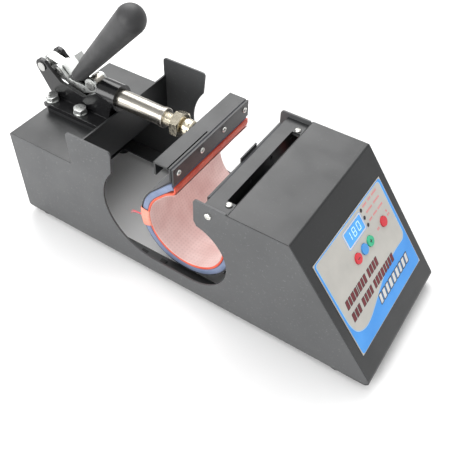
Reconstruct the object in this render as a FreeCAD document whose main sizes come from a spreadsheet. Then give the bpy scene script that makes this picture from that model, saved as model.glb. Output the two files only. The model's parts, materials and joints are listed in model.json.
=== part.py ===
"""Mug heat press: a wrap-round heater in a folded steel chassis, closed by a push-pull toggle clamp.

Chassis coordinates, in millimetres: x runs from the outer face of the rear wall to the control
panel, y from the middle plane to the far side plate, z up from the bottom edge of the side plates.
Every piece is placed through these, and the whole is then moved so that the origin is the centre
of the footprint, at the height of the soles of the feet.
"""
import FreeCAD, Part
import math
import os
import re
import Sketcher
from FreeCAD import Placement, Rotation, Vector

# ---------------------------------------------------------------- sizes
SIZES = {
    # chassis
    "body_width": 160, "body_length": 441, "plate": 2.0, "skin": 1.5, "shelf_length": 86, "box_rise": 5,
    "box_top_end": 336, "cover_gap": 2.1, "cover_lip": 14, "cover_return": 17.948, "toe_radius": 6,
    "side_flange": 20, "rear_flange": 28, "fold_gap": 0.2, "screw_hole": 1.7, "screw_radius": 1.6,
    "rear_ear_edge": 142.5, "rear_ear_slant": 3, "front_ear_reach": 9, "ear_radius": 4,
    "ear_neck": 0.63, "cut_rear_back": 29.6, "cut_rear_up": 14.4, "cut_rear_gap": 5.6,
    "cut_front_ahead": 14.4, "cut_front_down": 2.7, "cut_front_gap": 0.8, "foot_height": 8,
    "foot_radius": 10, "rear_foot_x": 20, "front_foot_x": 398, "foot_inset": 12, "cover_screw_in": 8,
    "cover_screw_y": 30, "base_overlap": 14, "vent_start": 40, "vent_pitch": 9, "vent": 3,
    "vent_half_length": 22, "ear_width": 18, "ear_gap": 1, "ear_screw_in": 6.5, "harness_grommet": 4.1,
    "lead_grommet": 5, "lead_y": 58, "lead_drop": 15, "lip_height": 17, "skirt_depth": 30,
    "crossmember_flange": 46,
    # heater wrap
    "mug_radius": 43.5, "rise_angle": 45, "wrap_x": 215.2, "wrap_floor": 10.9, "wrap_width": 130,
    "liner": 0.6, "mat": 2.4, "sponge": 7, "band": 1.2, "sensor_radius": 1.5, "sensor_hole": 1.7,
    "sensor_length": 36, "rest": 2, "rest_drop": 30.5, "rest_gap": 0.5, "rest_height": 24,
    # jaws
    "jaw_gap": 44, "jaw_setback": 13.2, "jaw_clear": 0.2425, "rear_jaw_depth": 19.5,
    "rear_jaw_height": 16, "jaw_length": 131, "jaw_wall": 2, "strip": 2, "strip_height": 19,
    "strip_drop": 0.5, "front_tab": 1.5, "front_tab_start": -7, "front_tab_length": 28,
    "front_tab_drop": 2.6, "front_tab_height": 5.6, "rear_screw_drop": 8, "front_screw_drop": 6,
    "strip_pitch": 38.5, "strip_hole": 1.6, "strip_screw": 1.5, "strip_screw_head": 2, "slit": 1.4,
    "slit_depth": 3, "crossbar_depth": 15, "crossbar_rise": 1.1955, "crossbar_height": 22,
    # toggle clamp
    "spacer": 6, "clamp_flange": 5, "clamp_length": 80, "clamp_width": 62, "clamp_rear": 5,
    "bolt_front_x": 50, "bolt_rear_x": 10, "bolt_y": 22.5, "bolt_radius": 4, "bolt_gap": 0.2,
    "washer": 1.2, "plunger_drop": 6.4, "plunger_rise": 32.6, "plunger_radius": 10,
    "plunger_front": 149, "barrel_start": 67.5, "barrel_end": 91, "barrel_radius": 14.5,
    "cheek_inner": 11, "cheek": 4, "pivot_a_x": -4, "pivot_a_rise": 11.4, "pivot_b_x": 13,
    "pivot_b_rise": 7.9, "pivot_c_x": 58, "pivot_c_rise": 7.4, "arm_radius": 8.5, "pin_radius": 3.5,
    "tang_half": 6, "tang_radius": 7.8, "tang_reach": 17, "link": 2.5, "link_gap": 0.5,
    "link_rear_radius": 7.5, "link_front_radius": 8, "grip_x": 24, "grip_rise": 13.4, "grip_angle": 43,
    "grip_length": 138, "grip_rear_radius": 12.7, "grip_tip_radius": 15, "lever_radius": 7.5,
    "shank_root": 8, "shank_length": 24, "shank_half": 6.5, "spindle_radius": 6.8, "spindle_reach": 26,
    "jaw_bolt_radius": 2.5, "lock_nut_flats": 24, "lock_nut": 10, "head_radius": 9, "head": 12.5,
    "run_fit": 0.05,
    # control panel, measured down the slope from its top edge
    "label": 0.6, "label_start": 32, "label_end": 139, "label_half_width": 69.5, "window_start": 38,
    "window_end": 55, "window_half_width": 17.3, "light_gap": 0.2, "led_y": 21.6, "led_radius": 2,
    "led_1": 38.5, "led_2": 47, "led_3": 55.5, "button_row": 68.4, "button_radius": 5.3,
    "button_gap": 0.3, "button_rise": 1.6, "button_1_y": -13.6, "button_2_y": 0.5, "button_3_y": 13,
    "button_4_y": 44.3, "board": 1.6, "board_depth": 13.6, "board_lead": 12, "board_y": -42,
    "board_length": 84, "board_width": 102, "standoff_in": 5, "standoff_radius": 3,
    # mains entry in the rear wall
    "entry_height": 40, "inlet_y": -34, "switch_y": 8, "rocker_tilt": 10, "entry_gap": 0.2,
    "inlet_rim": 2.5, "entry_flange": 2, "inlet_half_width": 13.6, "inlet_half_height": 9.8,
    "inlet_depth": 24, "socket_half_width": 10, "socket_half_height": 7, "socket_depth": 15, "blade": 2,
    "blade_half_height": 2.5, "blade_length": 13, "blade_pitch": 6, "switch_rim": 2,
    "switch_flange": 1.6, "switch_half_width": 9.4, "switch_half_height": 6.4, "switch_depth": 14,
    "well_depth": 8, "rocker_half_width": 7.6, "rocker_half_height": 5, "rocker_gap": 0.3,
    "rocker_lift": 0.7, "rocker_radius": 4, "rocker_reach": 5.6, "rocker_x": 3,
    # pieces of the control box
    "core_x": 16, "core_y": -58, "core_length": 44, "core_width": 32, "core_height": 38,
    "coil_overhang": 7, "coil_width": 18, "coil_height": 24, "relay_x": 14, "relay_y": 8,
    "relay_length": 58, "relay_width": 45, "relay_height": 22, "relay_hole": 2.2, "relay_hole_in": 5,
    "terminal_x": 20, "terminal_length": 30, "terminal_width": 10, "terminal_height": 14,
}

# Values worked out from the sizes, each written as a spreadsheet formula.
PLACES = {
    "liner_outer": "mug_radius + liner",
    "mat_outer": "mug_radius + liner + mat",
    "sponge_outer": "mug_radius + liner + mat + sponge",
    "wrap_outer": "mug_radius + liner + mat + sponge + band",
    "wrap_z": "wrap_floor + wrap_outer",
    "rear_jaw_x": "wrap_x - jaw_setback",
    "rear_jaw_top": "wrap_z + wrap_outer / cos(rise_angle) - jaw_setback * tan(rise_angle)"
                    " + jaw_clear + rear_jaw_height",
    "plunger_height": "rear_jaw_top - plunger_drop",
    "shelf_height": "plunger_height - plunger_rise",
    "pivot_a_z": "plunger_height + pivot_a_rise",
    "pivot_b_z": "plunger_height + pivot_b_rise",
    "grip_z": "plunger_height + grip_rise",
    "crossbar_x": "rear_jaw_x + jaw_gap",
    "crossbar_top": "wrap_z + sqrt(wrap_outer ^ 2 - (crossbar_x - wrap_x) ^ 2)"
                    " + crossbar_rise + crossbar_height",
    "box_height": "crossbar_top + box_rise",
    "cover_rear": "wrap_x + wrap_outer + cover_gap",
    "rear_ear_height": "rear_jaw_top",
    "cut_rear_x": "wrap_x - cut_rear_back",
    "cut_rear_z": "wrap_z + cut_rear_up",
    "cut_rear_radius": "wrap_outer + cut_rear_gap",
    "cut_front_x": "wrap_x + cut_front_ahead",
    "cut_front_z": "wrap_z - cut_front_down",
    "cut_front_radius": "mug_radius + cut_front_gap",
    "panel_angle": "atan2(box_height; body_length - box_top_end)",
    "half_panel": "panel_angle / 2",
    "half_body": "body_width / 2",
    "half_inside": "body_width / 2 - plate",
    "pivot_c_z": "plunger_height + pivot_c_rise",
    "rear_end": "pivot_a_x - arm_radius",
    "toe_start": "body_length - toe_radius / tan(half_panel)",
    "toe_end": "toe_start + toe_radius",
    "origin_x": "(rear_end + toe_end) / 2",
    "front_ear_edge": "crossbar_x - front_ear_reach",
    "rear_strip_x": "rear_jaw_x + band",
    "front_mouth_x": "crossbar_x - band",
    "front_strip_x": "crossbar_x - band - strip",
    "rear_strip_top": "rear_jaw_top - strip_drop",
    "front_strip_top": "crossbar_top - strip_drop",
    "clamp_floor": "shelf_height + spacer",
    "link_inner": "tang_half + link_gap",
    "link_outer": "tang_half + link_gap + link",
    "lever_half": "tang_half - 0.3",
    "baffle_x": "cut_front_x + cut_front_radius + 0.5",
    "jaw_back_x": "rear_jaw_x - rear_jaw_depth",
    "cover_bottom_x": "toe_start - cover_return",
    "foot_y": "body_width / 2 - plate - foot_inset",
    "harness_y": "body_width / 2 - plate - 4",
}

doc = FreeCAD.newDocument("MugHeatPress")


def bind(text):
    """The expression with each size or place named through its spreadsheet."""
    def cell(match):
        word = match.group(0)
        if word in SIZES:
            return f"Sizes.{word}"
        if word in PLACES:
            return f"Places.{word}"
        return word
    return re.sub(r"[a-z_]\w*", cell, str(text))


def make_sheet(name, cells):
    sheet = doc.addObject("Spreadsheet::Sheet", name)
    for row, (alias, content) in enumerate(cells.items(), start=1):
        sheet.set(f"A{row}", alias)
        sheet.setAlias(f"B{row}", alias)
        sheet.set(f"B{row}", content)
    return sheet


sizes = make_sheet("Sizes", {name: str(number) for name, number in SIZES.items()})
doc.recompute()
places = make_sheet("Places", {name: "=" + bind(text).replace("Places.", "")
                               for name, text in PLACES.items()})
doc.recompute()


def value(text):
    """The expression as a number."""
    found = sizes.evalExpression(bind(text))
    return float(getattr(found, "Value", found))


# ---------------------------------------------------------------- building blocks
PLANE_X, PLANE_Z = "{} - origin_x", "{} + foot_height"
TURN = {"x": Rotation(Vector(0, 1, 0), 90), "y": Rotation(Vector(1, 0, 0), -90), "z": Rotation()}
nodes = {}
scratch = iter(range(10 ** 6))


def node(name, item):
    """Label the object that is the finished sub-part."""
    item.Label = name
    nodes[name] = item
    return item


def new(kind, sizes_of_it):
    item = doc.addObject(kind, f"Piece{next(scratch)}")
    for prop, text in sizes_of_it.items():
        item.setExpression(prop, bind(text))
    return item


def put(item, x, y, z):
    """Place an object at a point of the chassis."""
    item.setExpression("Placement.Base.x", bind(PLANE_X.format(f"({x})")))
    item.setExpression("Placement.Base.y", bind(y))
    item.setExpression("Placement.Base.z", bind(PLANE_Z.format(f"({z})")))
    return item


def box(x, y, z, length, width, height):
    return put(new("Part::Box", {"Length": length, "Width": width, "Height": height}), x, y, z)


def wide_box(x, z, length, half_width, height):
    """A box centred on the middle plane."""
    return box(x, f"-({half_width})", z, length, f"2 * ({half_width})", height)


def entry_box(x, y, length, half_width, half_height):
    """A box centred on this y, at the height of the mains entry."""
    return box(x, f"({y}) - ({half_width})", f"entry_height - ({half_height})", length,
               f"2 * ({half_width})", f"2 * ({half_height})")


def rod(axis, x, y, z, radius, length):
    item = new("Part::Cylinder", {"Radius": radius, "Height": length})
    item.Placement = Placement(Vector(), TURN[axis])
    return put(item, x, y, z)


def hexagon(axis, x, y, z, flats, height):
    item = new("Part::Prism", {"Circumradius": f"({flats}) / 2 / cos(30)", "Height": height})
    item.Placement = Placement(Vector(), TURN[axis])
    return put(item, x, y, z)


def cross_rod(x, z, radius, half_length):
    """A cylinder along y, centred on the middle plane."""
    return rod("y", x, f"-({half_length})", z, radius, f"2 * ({half_length})")


def ring(axis, x, y, z, outer, inner, length):
    return cut(rod(axis, x, y, z, outer, length), rod(axis, x, y, z, inner, length))


def cut(base, *tools):
    item = doc.addObject("Part::Cut", f"Piece{next(scratch)}")
    item.Base = base
    item.Tool = tools[0] if len(tools) == 1 else group(*tools)
    return item


def fuse(*pieces):
    item = doc.addObject("Part::MultiFuse", f"Piece{next(scratch)}")
    item.Shapes = list(pieces)
    item.Refine = True
    return item


def group(*pieces):
    item = doc.addObject("Part::Compound", f"Piece{next(scratch)}")
    item.Links = list(pieces)
    return item


def tilt(item, angle):
    """Turn an object about y, so that its x axis points up at this angle."""
    item.Placement = Placement(Vector(), Rotation(Vector(0, 1, 0), 1))
    item.setExpression("Placement.Rotation.Angle", bind(f"-({angle})"))
    return item


def panel_point(down, out):
    """Chassis x and z of a point on the panel: down the slope, and out from its surface."""
    x = f"box_top_end + ({down}) * cos(panel_angle) + ({out}) * sin(panel_angle)"
    z = f"box_height - ({down}) * sin(panel_angle) + ({out}) * cos(panel_angle)"
    return x, z


def panel_box(down, y, out, length, width, height):
    item = new("Part::Box", {"Length": length, "Width": width, "Height": height})
    x, z = panel_point(down, out)
    return put(tilt(item, "-panel_angle"), x, y, z)


def panel_rod(down, y, out, radius, height):
    item = new("Part::Cylinder", {"Radius": radius, "Height": height})
    x, z = panel_point(down, out)
    return put(tilt(item, "-panel_angle"), x, y, z)


def strap(x, z, angle, start, length, half_height, y, width):
    """A bar whose middle line leaves a point at this angle, from start to start + length."""
    item = new("Part::Box", {"Length": length, "Width": width, "Height": f"2 * ({half_height})"})
    base_x = f"({x}) + ({start}) * cos({angle}) + ({half_height}) * sin({angle})"
    base_z = f"({z}) + ({start}) * sin({angle}) - ({half_height}) * cos({angle})"
    return put(tilt(item, angle), base_x, y, base_z)


def attach(body, role):
    """A sketch on one of the body's own origin planes."""
    sketch = body.newObject("Sketcher::SketchObject", f"Sketch{next(scratch)}")
    plane = next(item for item in body.Origin.OriginFeatures if item.Role == role)
    sketch.AttachmentSupport = (plane, [""])
    sketch.MapMode = "FlatFace"
    return sketch


def pin_point(sketch, geometry, end, across, up):
    """Hold a sketch point by its two distances from the origin."""
    for kind, text in (("DistanceX", across), ("DistanceY", up)):
        constraint = Sketcher.Constraint(kind, -1, 1, geometry, end, value(text))
        index = sketch.addConstraint(constraint)
        sketch.setExpression(f"Constraints[{index}]", bind(text))


def outline(body, role, points):
    sketch = attach(body, role)
    ends = [Vector(value(across), value(up), 0) for across, up in points]
    count = len(points)
    for index in range(count):
        sketch.addGeometry(Part.LineSegment(ends[index], ends[(index + 1) % count]))
    for index in range(count):
        sketch.addConstraint(Sketcher.Constraint("Coincident", index, 2, (index + 1) % count, 1))
    for index, (across, up) in enumerate(points):
        pin_point(sketch, index, 1, across, up)
    return sketch


def circle(body, role, across, up, radius):
    sketch = attach(body, role)
    centre = Vector(value(across), value(up), 0)
    sketch.addGeometry(Part.Circle(centre, Vector(0, 0, 1), value(radius)))
    index = sketch.addConstraint(Sketcher.Constraint("Radius", 0, value(radius)))
    sketch.setExpression(f"Constraints[{index}]", bind(radius))
    pin_point(sketch, 0, 3, across, up)
    return sketch


def new_body(name, y="0"):
    body = doc.addObject("PartDesign::Body", name)
    put(body, "0", y, "0")
    return node(name, body)


def pad(body, sketch, length, symmetric=True):
    feature = body.newObject("PartDesign::Pad", f"Pad{next(scratch)}")
    feature.Profile = sketch
    feature.setExpression("Length", bind(length))
    feature.SideType = "Symmetric" if symmetric else "One side"
    doc.recompute()
    return feature


def pocket(body, sketch):
    before = body.Shape.Volume
    feature = body.newObject("PartDesign::Pocket", f"Pocket{next(scratch)}")
    feature.Profile = sketch
    feature.Type = "ThroughAll"
    feature.SideType = "Symmetric"
    doc.recompute()
    if not feature.Shape.Volume < before:
        raise RuntimeError(f"{body.Label}: {feature.Label} cuts nothing")
    return feature


def round_edges(body, corners, radius):
    """Round the edges along y that pass through these points of the x-z plane."""
    base = body.Tip
    wanted = [(value(x), value(z)) for x, z in corners]
    names = []
    for index, edge in enumerate(base.Shape.Edges, start=1):
        ends = [vertex.Point for vertex in edge.Vertexes]
        along_y = len(ends) == 2 and abs(ends[0].x - ends[1].x) + abs(ends[0].z - ends[1].z) < 1e-4
        if along_y and any(math.hypot(ends[0].x - x, ends[0].z - z) < 0.02 for x, z in wanted):
            names.append(f"Edge{index}")
    feature = body.newObject("PartDesign::Fillet", f"Fillet{next(scratch)}")
    feature.Base = (base, names)
    feature.setExpression("Radius", bind(radius))
    doc.recompute()
    return feature


def folded_sheet(name, points, half_width, rounds=()):
    """A piece of sheet with this section in the x-z plane, centred on the middle plane."""
    body = new_body(name)
    pad(body, outline(body, "XZ_Plane", points), f"2 * ({half_width})")
    for corners, radius in rounds:
        round_edges(body, corners, radius)
    return body


def pan_screw(axis, x, y, z, radius, length, head_radius, head_height, forward=True):
    """A screw whose head sits at the point, with its shank along the axis, or against it."""
    at = "xyz".index(axis)
    shank_start = [x, y, z]
    head_start = [x, y, z]
    if forward:
        head_start[at] = f"({head_start[at]}) - ({head_height})"
    else:
        shank_start[at] = f"({shank_start[at]}) - ({length})"
    shank = rod(axis, *shank_start, radius, length)
    return fuse(shank, rod(axis, *head_start, head_radius, head_height))


# ---------------------------------------------------------------- chassis
EAR_SCREW = ("crossbar_x + crossbar_depth / 2", "crossbar_top - crossbar_height / 3")
TOE_INSIDE = ("body_length - skin / tan(half_panel)", "skin")
REAR_FOLDS_INSIDE = [("skin", "skin"), ("skin", "shelf_height - skin")]


def side_plate(name, side):
    """A side plate with its ears, the cut-out for the mug, and an inward flange at the bottom."""
    body = new_body(name, f"{side} * (half_body - plate / 2)")
    pad(body, outline(body, "XZ_Plane", [
        ("skin", "skin"), ("rear_flange + fold_gap", "skin"), ("rear_flange + fold_gap", "0"),
        ("cover_bottom_x - fold_gap", "0"), ("cover_bottom_x - fold_gap", "skin"),
        TOE_INSIDE, ("box_top_end - skin * tan(half_panel)", "box_height - skin"),
        ("cover_rear - fold_gap", "box_height - skin"), ("cover_rear - fold_gap", "box_height"),
        ("front_ear_edge", "box_height"), ("front_ear_edge", "cut_front_z"),
        ("rear_ear_edge - rear_ear_slant", "cut_rear_z"),
        ("rear_ear_edge - rear_ear_slant", "cut_rear_z + cut_rear_radius * ear_neck"),
        ("rear_ear_edge", "rear_ear_height"), ("shelf_length + fold_gap", "rear_ear_height"),
        ("shelf_length + fold_gap", "shelf_height - skin"), ("skin", "shelf_height - skin")]), "plate")
    pocket(body, circle(body, "XZ_Plane", "cut_rear_x", "cut_rear_z", "cut_rear_radius"))
    pocket(body, circle(body, "XZ_Plane", "cut_front_x", "cut_front_z", "cut_front_radius"))
    pocket(body, outline(body, "XZ_Plane", [
        ("cut_rear_x", "cut_rear_z - cut_rear_radius"),
        ("cut_front_x", "cut_front_z - cut_front_radius"),
        ("cut_front_x", "cut_front_z"), ("cut_rear_x", "cut_rear_z")]))
    pocket(body, circle(body, "XZ_Plane", *EAR_SCREW, "screw_hole"))
    round_edges(body, [("front_ear_edge", "box_height"), ("rear_ear_edge", "rear_ear_height"),
                       ("shelf_length + fold_gap", "rear_ear_height")], "ear_radius")
    round_edges(body, [TOE_INSIDE], "toe_radius - skin")
    round_edges(body, REAR_FOLDS_INSIDE, "skin")
    inner = f"{-side} * plate / 2"
    flange = outline(body, "XY_Plane", [
        ("rear_flange + fold_gap", f"{side} * plate / 2"),
        ("cover_bottom_x - fold_gap", f"{side} * plate / 2"),
        ("cover_bottom_x - fold_gap", f"{inner} - {side} * side_flange"),
        ("rear_flange + fold_gap", f"{inner} - {side} * side_flange")])
    pad(body, flange, "skin", symmetric=False)
    pad(body, lug_outline(body, side), "plate", symmetric=False)


def lug_outline(body, side):
    """The tab near the top of the plate that carries an ear of the crossbar."""
    inner = f"{-side} * plate / 2"
    sketch = outline(body, "XY_Plane", [
        ("crossbar_x + crossbar_depth", f"{side} * plate / 2"),
        ("cover_rear - ear_gap", f"{side} * plate / 2"),
        ("cover_rear - ear_gap", f"{inner} - {side} * ear_width"),
        ("crossbar_x + crossbar_depth", f"{inner} - {side} * ear_width")])
    sketch.setExpression("AttachmentOffset.Base.z", bind("crossbar_top - jaw_wall - plate"))
    doc.recompute()
    return sketch


side_plate("side_plate_near", -1)
side_plate("side_plate_far", 1)

rear_shell = folded_sheet("rear_shell", [
    ("rear_flange", "0"), ("0", "0"), ("0", "shelf_height"), ("shelf_length", "shelf_height"),
    ("shelf_length", "shelf_height - skin"), ("skin", "shelf_height - skin"), ("skin", "skin"),
    ("rear_flange", "skin")], "half_body",
    [([("0", "0"), ("0", "shelf_height")], "2 * skin"),
     (REAR_FOLDS_INSIDE, "skin")])
nodes.pop("rear_shell")
FEET = [(x, f"{side} * foot_y") for x in ("rear_foot_x", "front_foot_x") for side in (-1, 1)]
foot_holes = [rod("z", x, y, "-5", "screw_hole", "15") for x, y in FEET]
BOLTS = [(x, f"{side} * bolt_y") for x in ("bolt_rear_x", "bolt_front_x") for side in (-1, 1)]
bolt_holes = [rod("z", x, y, "shelf_height - 30", "bolt_radius + bolt_gap", "60") for x, y in BOLTS]
node("rear_cover", cut(
    rear_shell, *bolt_holes, *foot_holes[:2],
    entry_box("-5", "inlet_y", "12", "inlet_half_width + entry_gap", "inlet_half_height + entry_gap"),
    entry_box("-5", "switch_y", "12", "switch_half_width + entry_gap", "switch_half_height + entry_gap")))

crossmember = folded_sheet("crossmember", [
    ("shelf_length + fold_gap", "shelf_height + lip_height"),
    ("shelf_length + fold_gap + plate", "shelf_height + lip_height"),
    ("shelf_length + fold_gap + plate", "shelf_height - skirt_depth"),
    ("shelf_length + fold_gap", "shelf_height - skirt_depth"),
    ("shelf_length + fold_gap", "shelf_height - skin - plate"),
    ("shelf_length - crossmember_flange", "shelf_height - skin - plate"),
    ("shelf_length - crossmember_flange", "shelf_height - skin"),
    ("shelf_length + fold_gap", "shelf_height - skin")], "half_inside")
nodes.pop("crossmember")
node("clamp_crossmember", cut(crossmember, *bolt_holes[2:]))

cover_shell = folded_sheet("cover_shell", [
    ("cover_rear", "box_height - cover_lip"), ("cover_rear", "box_height"),
    ("box_top_end", "box_height"), ("body_length", "0"), ("cover_bottom_x", "0"),
    ("cover_bottom_x", "skin"), TOE_INSIDE,
    ("box_top_end - skin * tan(half_panel)", "box_height - skin"),
    ("cover_rear + skin", "box_height - skin"), ("cover_rear + skin", "box_height - cover_lip")],
    "half_body",
    [([TOE_INSIDE], "toe_radius - skin"), ([("body_length", "0")], "toe_radius"),
     ([("box_top_end", "box_height"), ("cover_rear", "box_height")], "2 * skin")])
nodes.pop("cover_shell")
BUTTONS = {"button_down": "button_1_y", "button_set": "button_2_y", "button_up": "button_3_y",
           "button_power": "button_4_y"}
LEDS = ["led_1", "led_2", "led_3"]
VENTS = 5
panel_holes = [panel_rod("button_row", y, "-20", "button_radius + button_gap", "40")
               for y in BUTTONS.values()]
panel_holes += [panel_rod(down, "led_y", "-20", "led_radius + light_gap", "40") for down in LEDS]
panel_holes.append(panel_box("window_start - light_gap", "-window_half_width - light_gap", "-20",
                             "window_end - window_start + 2 * light_gap",
                             "2 * (window_half_width + light_gap)", "40"))
COVER_SCREWS = [("cover_bottom_x + cover_screw_in", f"{side} * cover_screw_y") for side in (-1, 1)]
lip_ends = [box("cover_rear - 1", f"{side} * (half_inside + plate / 2 + 0.5) - plate / 2 - 0.5",
                "box_height - cover_lip - 1", "skin + 1.2", "plate + 1", "cover_lip + 1 - skin")
            for side in (-1, 1)]
node("front_cover", cut(cover_shell, *panel_holes, *lip_ends,
                        *[rod("z", x, y, "-5", "screw_hole", "9") for x, y in COVER_SCREWS]))

base_floor = box("baffle_x", "-half_inside", "skin", "cover_bottom_x + base_overlap - baffle_x",
                 "2 * half_inside", "skin")
base_vents = [box(f"baffle_x + vent_start + {index} * vent_pitch", "-vent_half_length", "0", "vent",
                  "2 * vent_half_length", "3 * skin") for index in range(VENTS)]
cover_holes = [rod("z", x, y, "-5", "screw_hole", "15") for x, y in COVER_SCREWS]
node("control_box_base", cut(base_floor, *base_vents, *foot_holes[2:], *cover_holes))

HARNESS_Z = "skin + 4"
GROMMET_Y, GROMMET_Z = "-harness_y + 6", "skin + 7.2"
LEAD_Z = "crossbar_top - lead_drop"
baffle_plate = box("baffle_x", "-half_inside", "2 * skin", "skin", "2 * half_inside",
                   "box_height - 3 * skin")
GROMMETS = [(GROMMET_Y, GROMMET_Z, "harness_grommet"), ("lead_y", LEAD_Z, "lead_grommet")]
node("control_box_baffle", cut(
    baffle_plate, *[rod("x", "baffle_x - 5", y, z, hole, "10") for y, z, hole in GROMMETS]))


# ---------------------------------------------------------------- front jaw
def channel(x, z_top, depth, height, half_length, closed_ends):
    """The outside and the hollow of a bar of folded sheet, open below."""
    outer = wide_box(x, f"({z_top}) - ({height})", depth, half_length, height)
    end = "jaw_wall" if closed_ends else "-1"
    hollow = wide_box(f"({x}) + jaw_wall", f"({z_top}) - ({height}) - 1", f"({depth}) - 2 * jaw_wall",
                      f"({half_length}) - ({end})", f"({height}) + 1 - jaw_wall")
    return outer, hollow


STRIP_SCREWS = [f"({index} - 1.5) * strip_pitch" for index in range(4)]
bar, hollow = channel("crossbar_x", "crossbar_top", "crossbar_depth", "crossbar_height",
                      "half_inside", closed_ends=True)
ears = [box("crossbar_x + crossbar_depth", f"{side} * (half_inside - ear_width / 2) - ear_width / 2",
            "crossbar_top - jaw_wall", "cover_rear - ear_gap - crossbar_x - crossbar_depth", "ear_width",
            "jaw_wall") for side in (-1, 1)]
EAR_TOP_SCREWS = [("cover_rear - ear_screw_in", f"{side} * (half_inside - ear_width + 4)")
                  for side in (-1, 1)]
FRONT_SCREW_Z = "crossbar_top - front_screw_drop"
bar_holes = [rod("x", "crossbar_x - 20", y, FRONT_SCREW_Z, "strip_hole", "20 + jaw_wall + 1")
             for y in STRIP_SCREWS]
tool_holes = [rod("x", "crossbar_x + jaw_wall + 1", y, FRONT_SCREW_Z, "2.4", "20")
              for y in STRIP_SCREWS]
ear_holes = [rod("z", x, y, "crossbar_top - 6", "screw_hole", "10") for x, y in EAR_TOP_SCREWS]
side_holes = [cross_rod(*EAR_SCREW, "screw_hole", "half_body")]
node("front_crossbar", cut(fuse(cut(bar, hollow), *ears),
                           *bar_holes, *tool_holes, *ear_holes, *side_holes))
for side_name in ("side_plate_near", "side_plate_far"):
    plate_body = nodes.pop(side_name)
    plate_body.Label = side_name + "_blank"
    node(side_name, cut(plate_body, *[rod("z", x, y, "crossbar_top - 12", "screw_hole", "20")
                                      for x, y in EAR_TOP_SCREWS], *foot_holes))

front_plate = wide_box("front_strip_x", "front_strip_top - strip_height", "strip", "jaw_length / 2",
                       "strip_height")
front_tab = box("front_strip_x - front_tab", "front_tab_start", "crossbar_top - front_tab_drop",
                "front_tab", "front_tab_length", "front_tab_height")
strip_holes = [rod("x", "front_strip_x - 1", y, FRONT_SCREW_Z, "strip_hole", "10") for y in STRIP_SCREWS]
node("front_clamp_strip", fuse(cut(front_plate, *strip_holes), front_tab))
node("front_strip_screws", group(*[
    pan_screw("x", "front_strip_x", y, FRONT_SCREW_Z, "strip_screw",
              "crossbar_x - front_strip_x + jaw_wall + 2", "2 * strip_screw", "strip_screw_head")
    for y in STRIP_SCREWS]))
side_screws = [pan_screw("y", EAR_SCREW[0], f"{side} * half_body", EAR_SCREW[1], "screw_radius",
                         "plate + jaw_wall + 2", "3.6", "2.4", forward=side < 0) for side in (-1, 1)]
top_screws = [pan_screw("z", x, y, "crossbar_top", "screw_radius", "jaw_wall + plate + 3", "3.4", "2.2",
                        forward=False) for x, y in EAR_TOP_SCREWS]
node("crossbar_screws", group(*side_screws, *top_screws))


# ---------------------------------------------------------------- heater wrap
def layer(outer, inner):
    """One layer of the wrap: a tube along y, which leaves its circle at the upper rear and rises at
    45 degrees to the rear jaw, and which is open between the jaws."""
    tube = cut(cross_rod("wrap_x", "wrap_z", outer, WRAP_HALF),
               cross_rod("wrap_x", "wrap_z", inner, f"{WRAP_HALF} + 1"))
    beyond = tilt(new("Part::Box", {"Length": "mug_radius", "Width": f"2 * {WRAP_HALF} + 4",
                                    "Height": "wrap_outer"}), "rise_angle")
    put(beyond, "wrap_x - mug_radius / 2 * sin(rise_angle)", f"-{WRAP_HALF} - 2",
        "wrap_z + mug_radius / 2 * cos(rise_angle)")
    rise = tilt(new("Part::Box", {"Length": "wrap_outer", "Width": f"2 * {WRAP_HALF}",
                                  "Height": f"({outer}) - ({inner})"}), "rise_angle")
    put(rise, f"wrap_x - ({inner}) * sin(rise_angle)", f"-{WRAP_HALF}",
        f"wrap_z + ({inner}) * cos(rise_angle)")
    mouth = wide_box("rear_strip_x", "wrap_z", "front_mouth_x - rear_strip_x", f"{WRAP_HALF} + 3",
                     "wrap_outer * 2")
    return cut(fuse(cut(tube, beyond), rise), mouth)


def tab(x, start, top):
    """The end of the band, turned up between a jaw and its strip."""
    return wide_box(x, start, "band", WRAP_HALF, f"({top}) - ({start})")


WRAP_HALF = "wrap_width / 2"
REAR_SCREW_Z = "rear_jaw_top - rear_screw_drop"
tab_holes = [rod("x", x, y, z, "screw_hole", "10") for y in STRIP_SCREWS
             for x, z in (("rear_jaw_x - 5", REAR_SCREW_Z), ("crossbar_x - 5", FRONT_SCREW_Z))]
REAR_TAB_START = "wrap_z + sponge_outer / cos(rise_angle) - (wrap_x - rear_strip_x) * tan(rise_angle)"
FRONT_TAB_START = "wrap_z + sqrt(sponge_outer ^ 2 - (front_mouth_x - wrap_x) ^ 2)"
band_tabs = [tab("rear_jaw_x", REAR_TAB_START, "rear_strip_top"),
             tab("front_mouth_x", FRONT_TAB_START, "front_strip_top")]
node("wrap_band", cut(fuse(layer("wrap_outer", "sponge_outer"), *band_tabs), *tab_holes))
SENSOR = ("wrap_x", "wrap_z - mat_outer - sensor_hole")
node("wrap_sponge", cut(layer("sponge_outer", "mat_outer"),
                        rod("y", SENSOR[0], "-wrap_width / 2 - 1", SENSOR[1], "sensor_hole", "60")))
node("heating_mat", layer("mat_outer", "liner_outer"))
node("wrap_liner", layer("liner_outer", "mug_radius"))
node("temperature_sensor", rod("y", SENSOR[0], "-wrap_width / 2 + 2", SENSOR[1], "sensor_radius",
                               "sensor_length"))

REST_TOP = "wrap_z - rest_drop"
REST_TIP = "wrap_x + sqrt(wrap_outer ^ 2 - rest_drop ^ 2) + rest_gap"
node("wrap_rest", fuse(
    wide_box(REST_TIP, f"{REST_TOP} - rest", f"baffle_x - ({REST_TIP})", "wrap_width / 2 - 1", "rest"),
    wide_box("baffle_x - rest", f"{REST_TOP} - rest", "rest", "wrap_width / 2 - 1", "rest_height")))


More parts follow.
